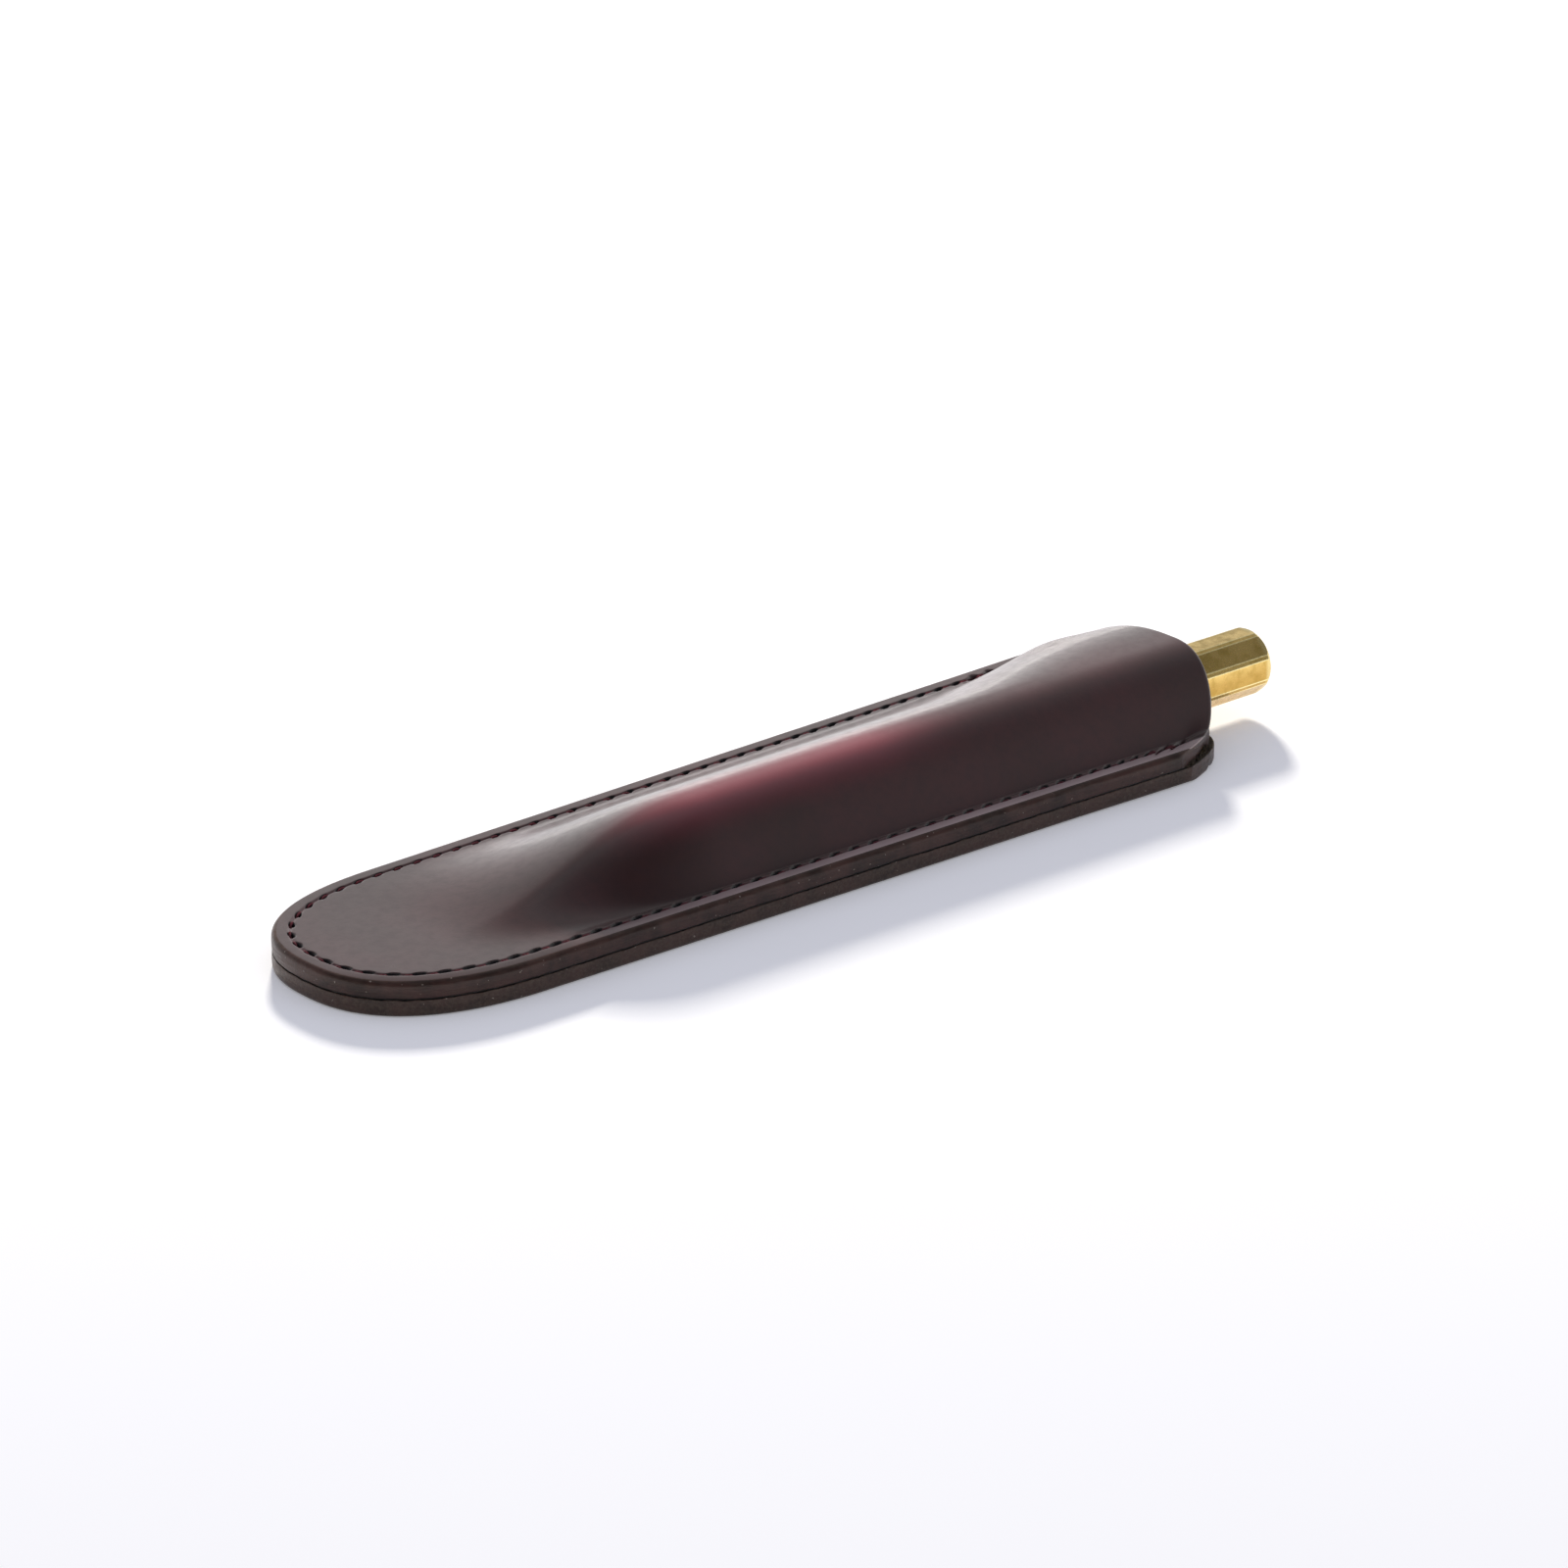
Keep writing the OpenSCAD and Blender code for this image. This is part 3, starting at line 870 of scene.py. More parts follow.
@dataclass
class LeatherPanel:
    """A layer of the sleeve as one closed mesh with grain, edge and flesh faces.

    Attributes:
        name: Name of the piece.
        loft: The layer's skins.
        finishes: Materials of the grain, the edge and the flesh side.
        replaces: CAD node that it stands for.
        slot: Not used.
    """

    name: str
    loft: Loft
    finishes: list[bpy.types.Material]
    replaces: str
    slot: str
    # Red band along the crest, partly thinned leather and partly painted light where the lamp falls: height
    # where it begins and over what more it grows, as shares of the crest's height
    raised_from: float = 0.55
    raised_over: float = 0.35
    # Where it begins along the sleeve and over what length, where it fades, over what length and how far
    band_x: float = 38.0
    band_l: float = 30.0
    fading_x: float = 86.0
    fading_l: float = 34.0
    fading: float = 0.9
    # How far beyond the crest it is strongest, and its half width
    band_off: float = 1.6
    band_w: float = 4.4
    # Where the painted sheen of the near side begins along the sleeve, and over what length
    sheen_x: float = 22.0
    sheen_l: float = 40.0
    # Depth at which the mouth's rounding passes into its cut edge, as a share of the leather
    mouth_cut: float = 0.09

    def stretch_and_light(self, points: Rows) -> Rows:
        """Finds the red band along the crest: partly where the leather is pulled thin, which lets its red
        through, and partly painted light where the lamp falls on the crest.

        Args:
            points: Points in mm.

        Returns:
            How strong the band is at each, from 0 to 1.
        """
        plan = self.loft.plan
        x, y, z = points.T
        above = z - plan.flange_z - self.raised_from * plan.crest_h
        raised = np.clip(above / (self.raised_over * plan.crest_h), 0, 1)
        faded = self.fading * smooth((x - self.fading_x) / self.fading_l)
        along = smooth((x - self.band_x) / self.band_l) * (1 - faded)
        return raised * along * np.exp(-(((y - plan.crest_y + self.band_off) / self.band_w) ** 2))

    def margin_sheen(self, points: Rows) -> Rows:
        """Finds where the near side gets a painted sheen: more and more from the closed end along the pen, as
        the moulded part rises beside it.

        Args:
            points: Points in mm.

        Returns:
            How strong the painted sheen is at each, from 0 to 1.
        """
        x, y, _ = points.T
        return np.where(y < 0, smooth((x - self.sheen_x) / self.sheen_l), 0.0)

    def skins(self, outer: Rows, rows: int) -> Rows:
        """Tells grain from cut edge on the outer skin.

        Args:
            outer: Grid of the outer skin.
            rows: Rows that the cut edge and its arris take up.

        Returns:
            Number of the material on each face.
        """
        s, r = outer.shape[:2]
        row, station = np.tile(np.arange(r - 1), s - 1), np.repeat(np.arange(s - 1), r - 1)
        _, behind, share = self.loft.stations()
        deep = np.maximum(share[:-1], share[1:]) > self.mouth_cut
        cut = (behind[:-1] >= 0) & (behind[1:] >= 0) & deep
        return np.where((row < rows - 1) | cut[station], Skin.EDGE.value, Skin.GRAIN.value)

    def build(self) -> bpy.types.Object:
        """Makes the mesh and puts it in the CAD node's place.

        Returns:
            The panel's object.
        """
        outer, guide = self.loft.outer()
        inner = self.loft.inner()
        quads, index = grid_faces(*outer.shape[:2], 0)
        low_quads, low_index = grid_faces(*inner.shape[:2], outer.shape[0] * outer.shape[1])
        points = np.concatenate([outer.reshape(-1, 3), inner.reshape(-1, 3)])
        between = zipped(points, border(index), border(low_index))
        faces = [tuple(f) for f in quads.tolist()]
        faces += [tuple(f[::-1]) for f in (*low_quads.tolist(), *between)]
        if self.loft.side is Side.FRONT:
            faces = [f[::-1] for f in faces]
        mesh = bpy.data.meshes.new(self.name)
        mesh.from_pydata(frame_points(points, self.loft.plan).tolist(), [], faces)
        for material in self.finishes:
            mesh.materials.append(material)
        slots = self.skins(outer, len(self.loft.edge_rows()[0]))
        slots = np.concatenate([slots, np.full(len(faces) - len(slots), Skin.FLESH.value)])
        mesh.polygons.foreach_set("material_index", slots.astype(np.int32))
        corner = np.zeros(len(mesh.loops), np.int32)
        mesh.loops.foreach_get("vertex_index", corner)
        guide = guide.reshape(-1, 2)
        flat = np.concatenate([guide, np.full((len(points) - len(guide), 2), NO_GUIDE)])
        uv = mesh.uv_layers.new(name=GUIDE_UV)
        uv.data.foreach_set("uv", (flat[corner] * MM).astype(np.float32).ravel())
        for name, values in (("stretch_and_light", self.stretch_and_light(points)), ("margin_sheen", self.margin_sheen(points))):
            mesh.attributes.new(name, "FLOAT", "POINT").data.foreach_set("value", values.astype(np.float32))
        mesh.validate()
        mesh.update()
        piece = new_piece(self.name, mesh)
        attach(piece, Body.SLEEVE.value)
        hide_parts(self.replaces)
        LOG.info("%s: %d points, %d faces", self.name, len(mesh.vertices), len(mesh.polygons))
        return piece


@dataclass
class Surface:
    """What a finish's pattern gives the shader.

    Attributes:
        colour: Base colour.
        gloss: Roughness.
        height: Relief from 0 to 1.
        relief: Height of the relief in mm.
        strength: How much of it shows.
        fixed: What is the same all over the surface.
    """

    colour: Wire
    gloss: Wire | float
    height: Wire
    relief: float
    strength: float
    fixed: dict[str, float]


@dataclass(frozen=True)
class Finish:
    """What one surface is made of and how it was worked."""

    name: str

    def surface(self, tree: bpy.types.NodeTree, place: Wire) -> Surface:
        """Builds the finish's own pattern.

        Args:
            tree: The material's node tree.
            place: The surface's own coordinates in metres.

        Returns:
            What the pattern gives the shader.
        """
        raise NotImplementedError

    def material(self) -> bpy.types.Material:
        """Builds the material round the pattern.

        Returns:
            The material, named for the finish.
        """
        made = bpy.data.materials.new(self.name)
        made.use_nodes = True
        tree = made.node_tree
        tree.nodes.clear()
        given = self.surface(tree, Wire(add(tree, "ShaderNodeTexCoord"), "Object"))
        relief = {"Height": given.height, "Distance": given.relief * MM, "Strength": given.strength}
        bump = add(tree, "ShaderNodeBump", relief)
        inputs = {"Base Color": given.colour, "Roughness": given.gloss, "Normal": bump, **given.fixed}
        if "Coat Weight" in given.fixed:
            inputs["Coat Normal"] = bump
        shader = add(tree, "ShaderNodeBsdfPrincipled", inputs)
        add(tree, "ShaderNodeOutputMaterial", {0: shader})
        return made


# Bridle leather, drum-dyed oxblood, waxed and glazed: so deep a dye that it is nearly black, under a hard
# coat that gives sharp streaks with soft tails. Red shows along the crest, partly where it is pulled thin and
# partly as painted light where the lamp falls; the near margin gets a painted sheen, paler as the moulded
# part rises
@dataclass(frozen=True)
class GlazedLeather(Finish):
    """Grain side of the sleeve with its pores, the seam's groove and the awl's slits."""

    name: str = "glazed_oxblood_bridle_leather"
    deep: str = "#35201f"
    warm: str = "#412425"
    mottled: str = "#2c191c"
    # Red of the crest's band: thinned leather, and painted light where the lamp falls
    stretched_and_lit: str = "#8c3c47"
    groove_red: str = "#4a1a22"
    # Pale painted sheen of the near margin
    margin: str = "#a48e8b"
    # Painted shade in the awl's slits, which are real dents
    slit_painted_shade: str = "#050304"
    roughness: float = 0.33
    glaze: float = 0.45
    glaze_roughness: float = 0.13
    # Seam in mm: stitch, place from the edge, ends, and the slits' half length, half width, place and slant
    pitch: float = 3.55
    seam_inset: float = 2.55
    seam_start: float = 0.0
    seam_end: float = 312.0
    overrun: float = 1.2
    slit_half_l: float = 1.1
    slit_half_w: float = 0.5
    slit_in: float = 0.12
    slit_lean: float = 0.2

    def surface(self, tree: bpy.types.NodeTree, place: Wire) -> Surface:
        """Builds the dye's clouds, the pores, the red band along the crest, the near margin's painted sheen
        and the seam's marks, with painted shade in the slits.

        Args:
            tree: The material's node tree.
            place: The surface's own coordinates in metres.

        Returns:
            What the pattern gives the shader.
        """
        cloud, mottle, pores = scattered(tree, place, Marks(20), Marks(1.6, rough=0.6), Marks(0.5, 2, 0.6))
        guide = add(tree, "ShaderNodeSeparateXYZ", {0: add(tree, "ShaderNodeUVMap", uv_map=GUIDE_UV)})
        run, inset = Wire(guide, 0) * (1 / MM), Wire(guide, 1) * (1 / MM)
        side = inset - self.seam_inset
        along = ((run / self.pitch + 0.5).done("FRACT") - 0.5) * self.pitch
        slant = side - self.slit_in + along * self.slit_lean
        oval = (along / self.slit_half_l) ** 2 + (slant / self.slit_half_w) ** 2
        begun = run.done("GREATER_THAN", self.seam_start - self.overrun)
        sewn = begun * run.done("LESS_THAN", self.seam_end + self.overrun)
        slit = oval.eased(0.7, 1.3, 1, 0) * sewn
        groove = abs(side).eased(0.22, 0.5, 1, 0) * sewn
        margin = inset.eased(self.seam_inset - 0.5, self.seam_inset - 0.15, 1, 0)
        red_band = Wire(add(tree, "ShaderNodeAttribute", attribute_name="stretch_and_light"), "Fac")
        painted_shine = Wire(add(tree, "ShaderNodeAttribute", attribute_name="margin_sheen"), "Fac")
        colour = layered(
            tree,
            self.deep,
            (cloud.eased(0.35, 0.7), self.warm),
            (mottle.eased(0.35, 0.75, 0, 0.35), self.mottled),
            # Red band along the crest: partly thinned leather, partly painted light
            (red_band * cloud.eased(0.2, 0.8, 0.75, 1.0), self.stretched_and_lit),
            # Near margin paler as the moulded part rises: a painted sheen
            (margin * painted_shine * cloud.eased(0.25, 0.75, 0.7, 1.0), self.margin),
            (groove * 0.45, self.groove_red),
            # Awl's slits black: painted shade in the dents
            (slit, self.slit_painted_shade),
        )
        gloss = mottle.eased(0.3, 0.75, self.roughness - 0.03, self.roughness + 0.04) + slit * 0.5
        coat = {"Coat Weight": self.glaze, "Coat Roughness": self.glaze_roughness, "Coat IOR": 1.5}
        return Surface(colour, gloss, pores, 0.01, 0.8, {"IOR": 1.5, **coat})


# Cut edge, dyed, waxed and rubbed: dark brown and half shiny with fine fibre lines along it, coarser and
# lighter in the back layer, and the black line of the glue between the two
@dataclass(frozen=True)
class BurnishedEdge(Finish):
    """Cut edge of both layers."""

    name: str = "burnished_leather_edge"
    colour: str = "#452e28"
    cloudy: str = "#2c1e19"
    fibrous: str = "#4d3f34"
    gritty: str = "#5a4c3f"
    # Pale painted glints on the waxed edge
    painted_glints: str = "#a59a8c"
    glue: str = "#060405"
    roughness: float = 0.36
    # Height of the glue line and how far it wanders, in mm
    glue_z: float = 2.65
    wander: float = 0.5

    def surface(self, tree: bpy.types.NodeTree, place: Wire) -> Surface:
        """Builds the fibres, the grit, the painted glints and the glue line.

        Args:
            tree: The material's node tree.
            place: The surface's own coordinates in metres.

        Returns:
            What the pattern gives the shader.
        """
        cloud, fibre, wave, grit, glint_spots = scattered(
            tree,
            place,
            Marks(4),
            Marks(10 / 3, finer=(1, 35 / 3)),
            Marks(2.2, rough=0.6),
            Marks(0.5, rough=0.7),
            Marks(0.55, 1, 0.4),
        )
        height = Wire(add(tree, "ShaderNodeSeparateXYZ", {0: place}), 2) * (1 / MM)
        line = abs(height + (wave - 0.5) * self.wander - self.glue_z).eased(0.07, 0.17, 1, 0)
        lower = height.eased(self.glue_z - 0.2, self.glue_z + 0.1, 1, 0)
        colour = layered(
            tree,
            self.colour,
            (cloud.eased(0.35, 0.7), self.cloudy),
            (fibre.eased(0.4, 0.75, 0, 0.35), self.fibrous),
            (lower * grit.eased(0.35, 0.7, 0.1, 0.6), self.gritty),
            # Pale painted glints
            (glint_spots.eased(0.735, 0.79) * 0.55, self.painted_glints),
            (line, self.glue),
        )
        relief = fibre * 0.06 + cloud * 0.2 + grit * (lower * 0.05 + 0.04) - line * 0.12
        gloss = fibre.eased(0.3, 0.8, self.roughness - 0.08, self.roughness + 0.14)
        return Surface(colour, gloss, relief, 1.0, 0.7, {"IOR": 1.5, "Specular IOR Level": 0.28})


# Undyed inner side of the leather: short matted fibre, olive brown and without any shine
@dataclass(frozen=True)
class FleshSide(Finish):
    """Flesh side of both layers."""

    name: str = "matted_leather_flesh"
    shaded: str = "#2e281f"
    colour: str = "#4b4233"
    pale: str = "#5c4f3c"

    def surface(self, tree: bpy.types.NodeTree, place: Wire) -> Surface:
        """Builds the matted fibre.

        Args:
            tree: The material's node tree.
            place: The surface's own coordinates in metres.

        Returns:
            What the pattern gives the shader.
        """
        fibre, cloud = scattered(tree, place, Marks(0.6, 4, 0.65), Marks(5, 2))
        layers = (fibre.eased(0.3, 0.7), self.colour), (cloud.eased(0.4, 0.7, 0, 0.4), self.pale)
        return Surface(layered(tree, self.shaded, *layers), 0.9, fibre, 0.3, 1.0, {"IOR": 1.45})


@dataclass(frozen=True)
class Plain(Finish):
    """A finish with one colour and a fine surface, for small and hidden pieces.

    Attributes:
        colour: Its colour.
        roughness: How dull it is.
        metallic: 1 for a metal.
        grain: Width of its grain in mm.
    """

    colour: str
    roughness: float = 0.5
    metallic: float = 0.0
    grain: float = 0.4

    def surface(self, tree: bpy.types.NodeTree, place: Wire) -> Surface:
        """Builds slight changes of colour and gloss.

        Args:
            tree: The material's node tree.
            place: The surface's own coordinates in metres.

        Returns:
            What the pattern gives the shader.
        """
        grain, cloud = scattered(tree, place, Marks(self.grain), Marks(6, 2))
        colour = layered(tree, self.colour, (cloud.eased(0.3, 0.7, 0, 0.25), "#000000"))
        gloss = grain.eased(0.3, 0.7, self.roughness - 0.05, self.roughness + 0.05)
        return Surface(colour, gloss, grain, 0.02, 0.6, {"Metallic": self.metallic})


# Brass bar, drawn and milled to eight flats, then handled for years: fine lines along it, olive and cloudy
# where fingers have dulled it, and lighter along its edges and round its end, partly from polish and partly
# as a painted highlight; its lower flats are darker with painted shade
@dataclass(frozen=True)
class HandledBrass(Finish):
    """Brass of the pen's cap, barrel and turned parts."""

    name: str = "handled_milled_brass"
    bright: str = "#e6c67c"
    dull: str = "#bda159"
    # Painted shade of the lower flats
    shaded: str = "#a8843e"
    # Colour of the bevels and the end: polish and painted highlight
    polish_and_highlight: str = "#fbeeb4"
    roughness: float = 0.22
    # Pen in mm: axis, radius over the corners, bevel on each corner, where it ends and that end's rounding
    axis_y: float = -6.0
    axis_z: float = 7.55
    radius: float = 5.1
    bevel: float = 0.7
    end_x: float = 94.9
    end_r: float = 1.9

    def surface(self, tree: bpy.types.NodeTree, place: Wire) -> Surface:
        """Builds the handled flats, the painted highlight along the bevels, the painted shade of the lower
        flats and the milling lines.

        Args:
            tree: The material's node tree.
            place: The surface's own coordinates in metres.

        Returns:
            What the pattern gives the shader.
        """
        marks, cloud, lines = scattered(
            tree, place, Marks(1.8, 4, 0.65), Marks(6), Marks(25 / 3, 2, finer=(50, 50))
        )
        at = add(tree, "ShaderNodeSeparateXYZ", {0: place})
        along, across, above = Wire(at, 0), Wire(at, 1) - self.axis_y * MM, Wire(at, 2) - self.axis_z * MM
        eighth = (above.done("ARCTAN2", across) / (math.pi / 4)).done("FRACT")
        from_edge = abs(eighth - 0.5) * (self.radius * math.pi / 4)
        # Lines along the bevels and the rounded end lighter: partly polish from handling, partly painted
        # highlight
        line = abs(from_edge - self.bevel / 2).eased(0.05, 0.15, 1, 0)
        end = along.eased((self.end_x - self.end_r) * MM, (self.end_x - self.end_r * 0.6) * MM)
        painted_shine = (line * 0.9).done("MAXIMUM", end * 0.4) * marks.eased(0.25, 0.6, 0.6, 1.0)
        colour = layered(
            tree,
            self.bright,
            ((marks * 0.6 + cloud * 0.4).eased(0.38, 0.62), self.dull),
            # Lower flats darker: painted shade
            (above.eased(-0.5 * MM, 2.6 * MM, 0.75, 0.0), self.shaded),
            (painted_shine, self.polish_and_highlight),
        )
        gloss = marks.eased(0.3, 0.7, self.roughness - 0.04, self.roughness + 0.1) + lines * 0.06 + line * 0.2
        return Surface(colour, gloss, lines * 0.5 + marks, 0.02, 0.5, {"Metallic": 1.0})


@dataclass
class Seam:
    """Lock stitches round the sleeve: the needle's row on the front and the bobbin's under the back.

    Attributes:
        plan: Sizes of the sleeve.
        rim: Stations round its edge.
        thread: The thread's material.
        strand_d: Thickness of the thread in mm.
        plies: Turns of its plies in one stitch.
        tack_count: Stitches that are sewn over again at each end.
    """

    plan: Plan
    rim: Rim
    thread: bpy.types.Material
    strand_d: float = 0.44
    plies: float = 1.7
    tack_count: int = 2
    # Middle of the strands: below the margin's top, over the underside, and the tack above the needle's row
    top_sink: float = 0.2
    low_z: float = 0.42
    tack_rise: float = 0.1
    tack_in: float = 0.25
    # How far the ends of a strand go into the leather above and below
    needle_sink: float = 1.6
    bobbin_sink: float = -1.1

    def strand_tree(self) -> bpy.types.GeometryNodeTree:
        """Node group that lays one plied strand on each stitch of a line.

        Returns:
            The group, with its sizes as named inputs in metres.
        """
        floats = ("Start", "End", "Strand Length", "Thread Diameter", "Sink", "Ply Turns")
        tree, given = new_group(
            "lay_stitches", {**dict.fromkeys(floats, "Float"), "Stitches": "Int", "Thread": "Material"}
        )
        seam = add(tree, "GeometryNodeMeshToCurve", {0: given["Geometry"]})
        ends = {"Curve": seam, "Start_001": given["Start"], "End_001": given["End"]}
        part = add(tree, "GeometryNodeTrimCurve", ends, mode="LENGTH")
        middles = {"Curve": part, "Count": given["Stitches"]}
        dots = add(tree, "GeometryNodeResampleCurve", middles, mode="COUNT")
        way = {"Vector": add(tree, "GeometryNodeInputTangent")}
        turn = add(tree, "FunctionNodeAlignRotationToVector", way, axis="X", pivot_axis="Z")
        half = given["Strand Length"] * 0.5
        left, right = (add(tree, "ShaderNodeCombineXYZ", {0: reach}) for reach in (half * -1.0, half))
        line = add(tree, "GeometryNodeCurvePrimitiveLine", {"Start": left, "End": right})
        fine = add(tree, "GeometryNodeResampleCurve", {"Curve": line, "Count": 11}, mode="COUNT")
        share = Wire(add(tree, "GeometryNodeSplineParameter"), "Factor")
        down = abs(share * 2.0 - 1.0) ** 2.2 * (given["Sink"] * -1.0)
        offset = add(tree, "ShaderNodeCombineXYZ", {2: down})
        arched = add(tree, "GeometryNodeSetPosition", {"Geometry": fine, "Offset": offset})
        twist = share * (given["Ply Turns"] * (2 * math.pi))
        twisted = add(tree, "GeometryNodeSetCurveTilt", {"Curve": arched, "Tilt": twist})
        round_wire = {"Resolution": 9, "Radius": given["Thread Diameter"] * 0.5}
        ring = add(tree, "GeometryNodeCurvePrimitiveCircle", round_wire)
        valley = Wire(add(tree, "GeometryNodeInputIndex")).done("MODULO", 3.0).done("COMPARE", 0.0, 0.1)
        at = {0: add(tree, "GeometryNodeInputPosition"), "Scale": 1.0 - valley * 0.22}
        pressed = add(tree, "ShaderNodeVectorMath", at, operation="SCALE")
        lobed = add(tree, "GeometryNodeSetPosition", {"Geometry": ring, "Position": pressed})
        swept = {"Curve": twisted, "Profile Curve": lobed, "Fill Caps": True}
        strand = add(tree, "GeometryNodeCurveToMesh", swept)
        laid = {"Points": dots, "Instance": strand, "Rotation": turn}
        sewn = add(tree, "GeometryNodeInstanceOnPoints", laid)
        real = add(tree, "GeometryNodeRealizeInstances", {0: sewn})
        shaded = add(tree, "GeometryNodeSetShadeSmooth", {0: real})
        dressed = add(tree, "GeometryNodeSetMaterial", {"Geometry": shaded, "Material": given["Thread"]})
        add(tree, "NodeGroupOutput", {0: dressed})
        return tree

    def line(self, height: float, shift: float) -> Rows:
        """Draws the line that stitches are laid on.

        Args:
            height: Its height in mm.
            shift: How far it lies inwards of the seam line.

        Returns:
            Its points in mm.
        """
        plan, run = self.plan, self.rim.seam_run
        path = self.rim.inset(plan.seam_inset + shift)
        laid = np.stack([plan.laid(path[:, 0], path[:, 1]), path[:, 1]], 1)
        ends = (self.rim.seam_start, self.rim.seam_length)
        first, last = ([[np.interp(s, run, laid[:, 0]), np.interp(s, run, laid[:, 1])]] for s in ends)
        flat = np.concatenate([first, laid[(run > ends[0] + 0.05) & (run < ends[1] - 0.05)], last])
        return np.concatenate([flat, np.full((len(flat), 1), height)], 1)

    def sew(
        self,
        name: str,
        tree: bpy.types.GeometryNodeTree,
        height: float,
        first: int,
        count: int,
        shift: float,
        sink: float,
    ) -> bpy.types.Object:
        """Sews part of the seam as one piece that stands for the CAD node of the same name.

        Args:
            name: Name of the piece and of the CAD node.
            tree: The stitches' node group.
            height: Height of the strands' middle, in mm.
            first: Number of the first stitch.
            count: Number of stitches.
            shift: How far the strands lie inwards of the seam line, in mm.
            sink: How far their ends go into the leather, in mm; below nought on the underside.

        Returns:
            The piece.
        """
        path = self.line(height, shift)
        step = runs(path)[-1] / (self.rim.stitches + self.plan.near_extra)
        steps = [(i, i + 1) for i in range(len(path) - 1)]
        mesh = bpy.data.meshes.new(name + "_line")
        mesh.from_pydata(frame_points(path, self.plan).tolist(), steps, [])
        sizes = {
            "Start": (first + 0.5) * step * MM,
            "End": (first + count - 0.5) * step * MM,
            "Strand Length": step * 1.02 * MM,
            "Thread Diameter": self.strand_d * MM,
            "Sink": sink * MM,
            "Ply Turns": self.plies,
            "Stitches": count,
            "Thread": self.thread,
        }
        piece = grown(mesh, tree, sizes, name)
        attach(piece, Body.SLEEVE.value)
        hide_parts(name)
        LOG.info("%s: %d stitches, %d faces", name, count, len(piece.data.polygons))
        return piece

    def build(self) -> None:
        """Sews the whole seam and the two tacked ends."""
        tree = self.strand_tree()
        top = self.plan.flange_z - self.top_sink
        over, sink, tack = top + self.tack_rise, self.needle_sink, self.tack_count
        count = self.rim.stitches + self.plan.near_extra
        self.sew("needle_thread", tree, top, 0, count, 0.0, sink)
        self.sew("bobbin_thread", tree, self.low_z, 0, count, 0.0, self.bobbin_sink)
        self.sew("backtack_near", tree, over, 0, tack, self.tack_in, sink)
        self.sew("backtack_far", tree, over, count - tack, tack, self.tack_in, sink)


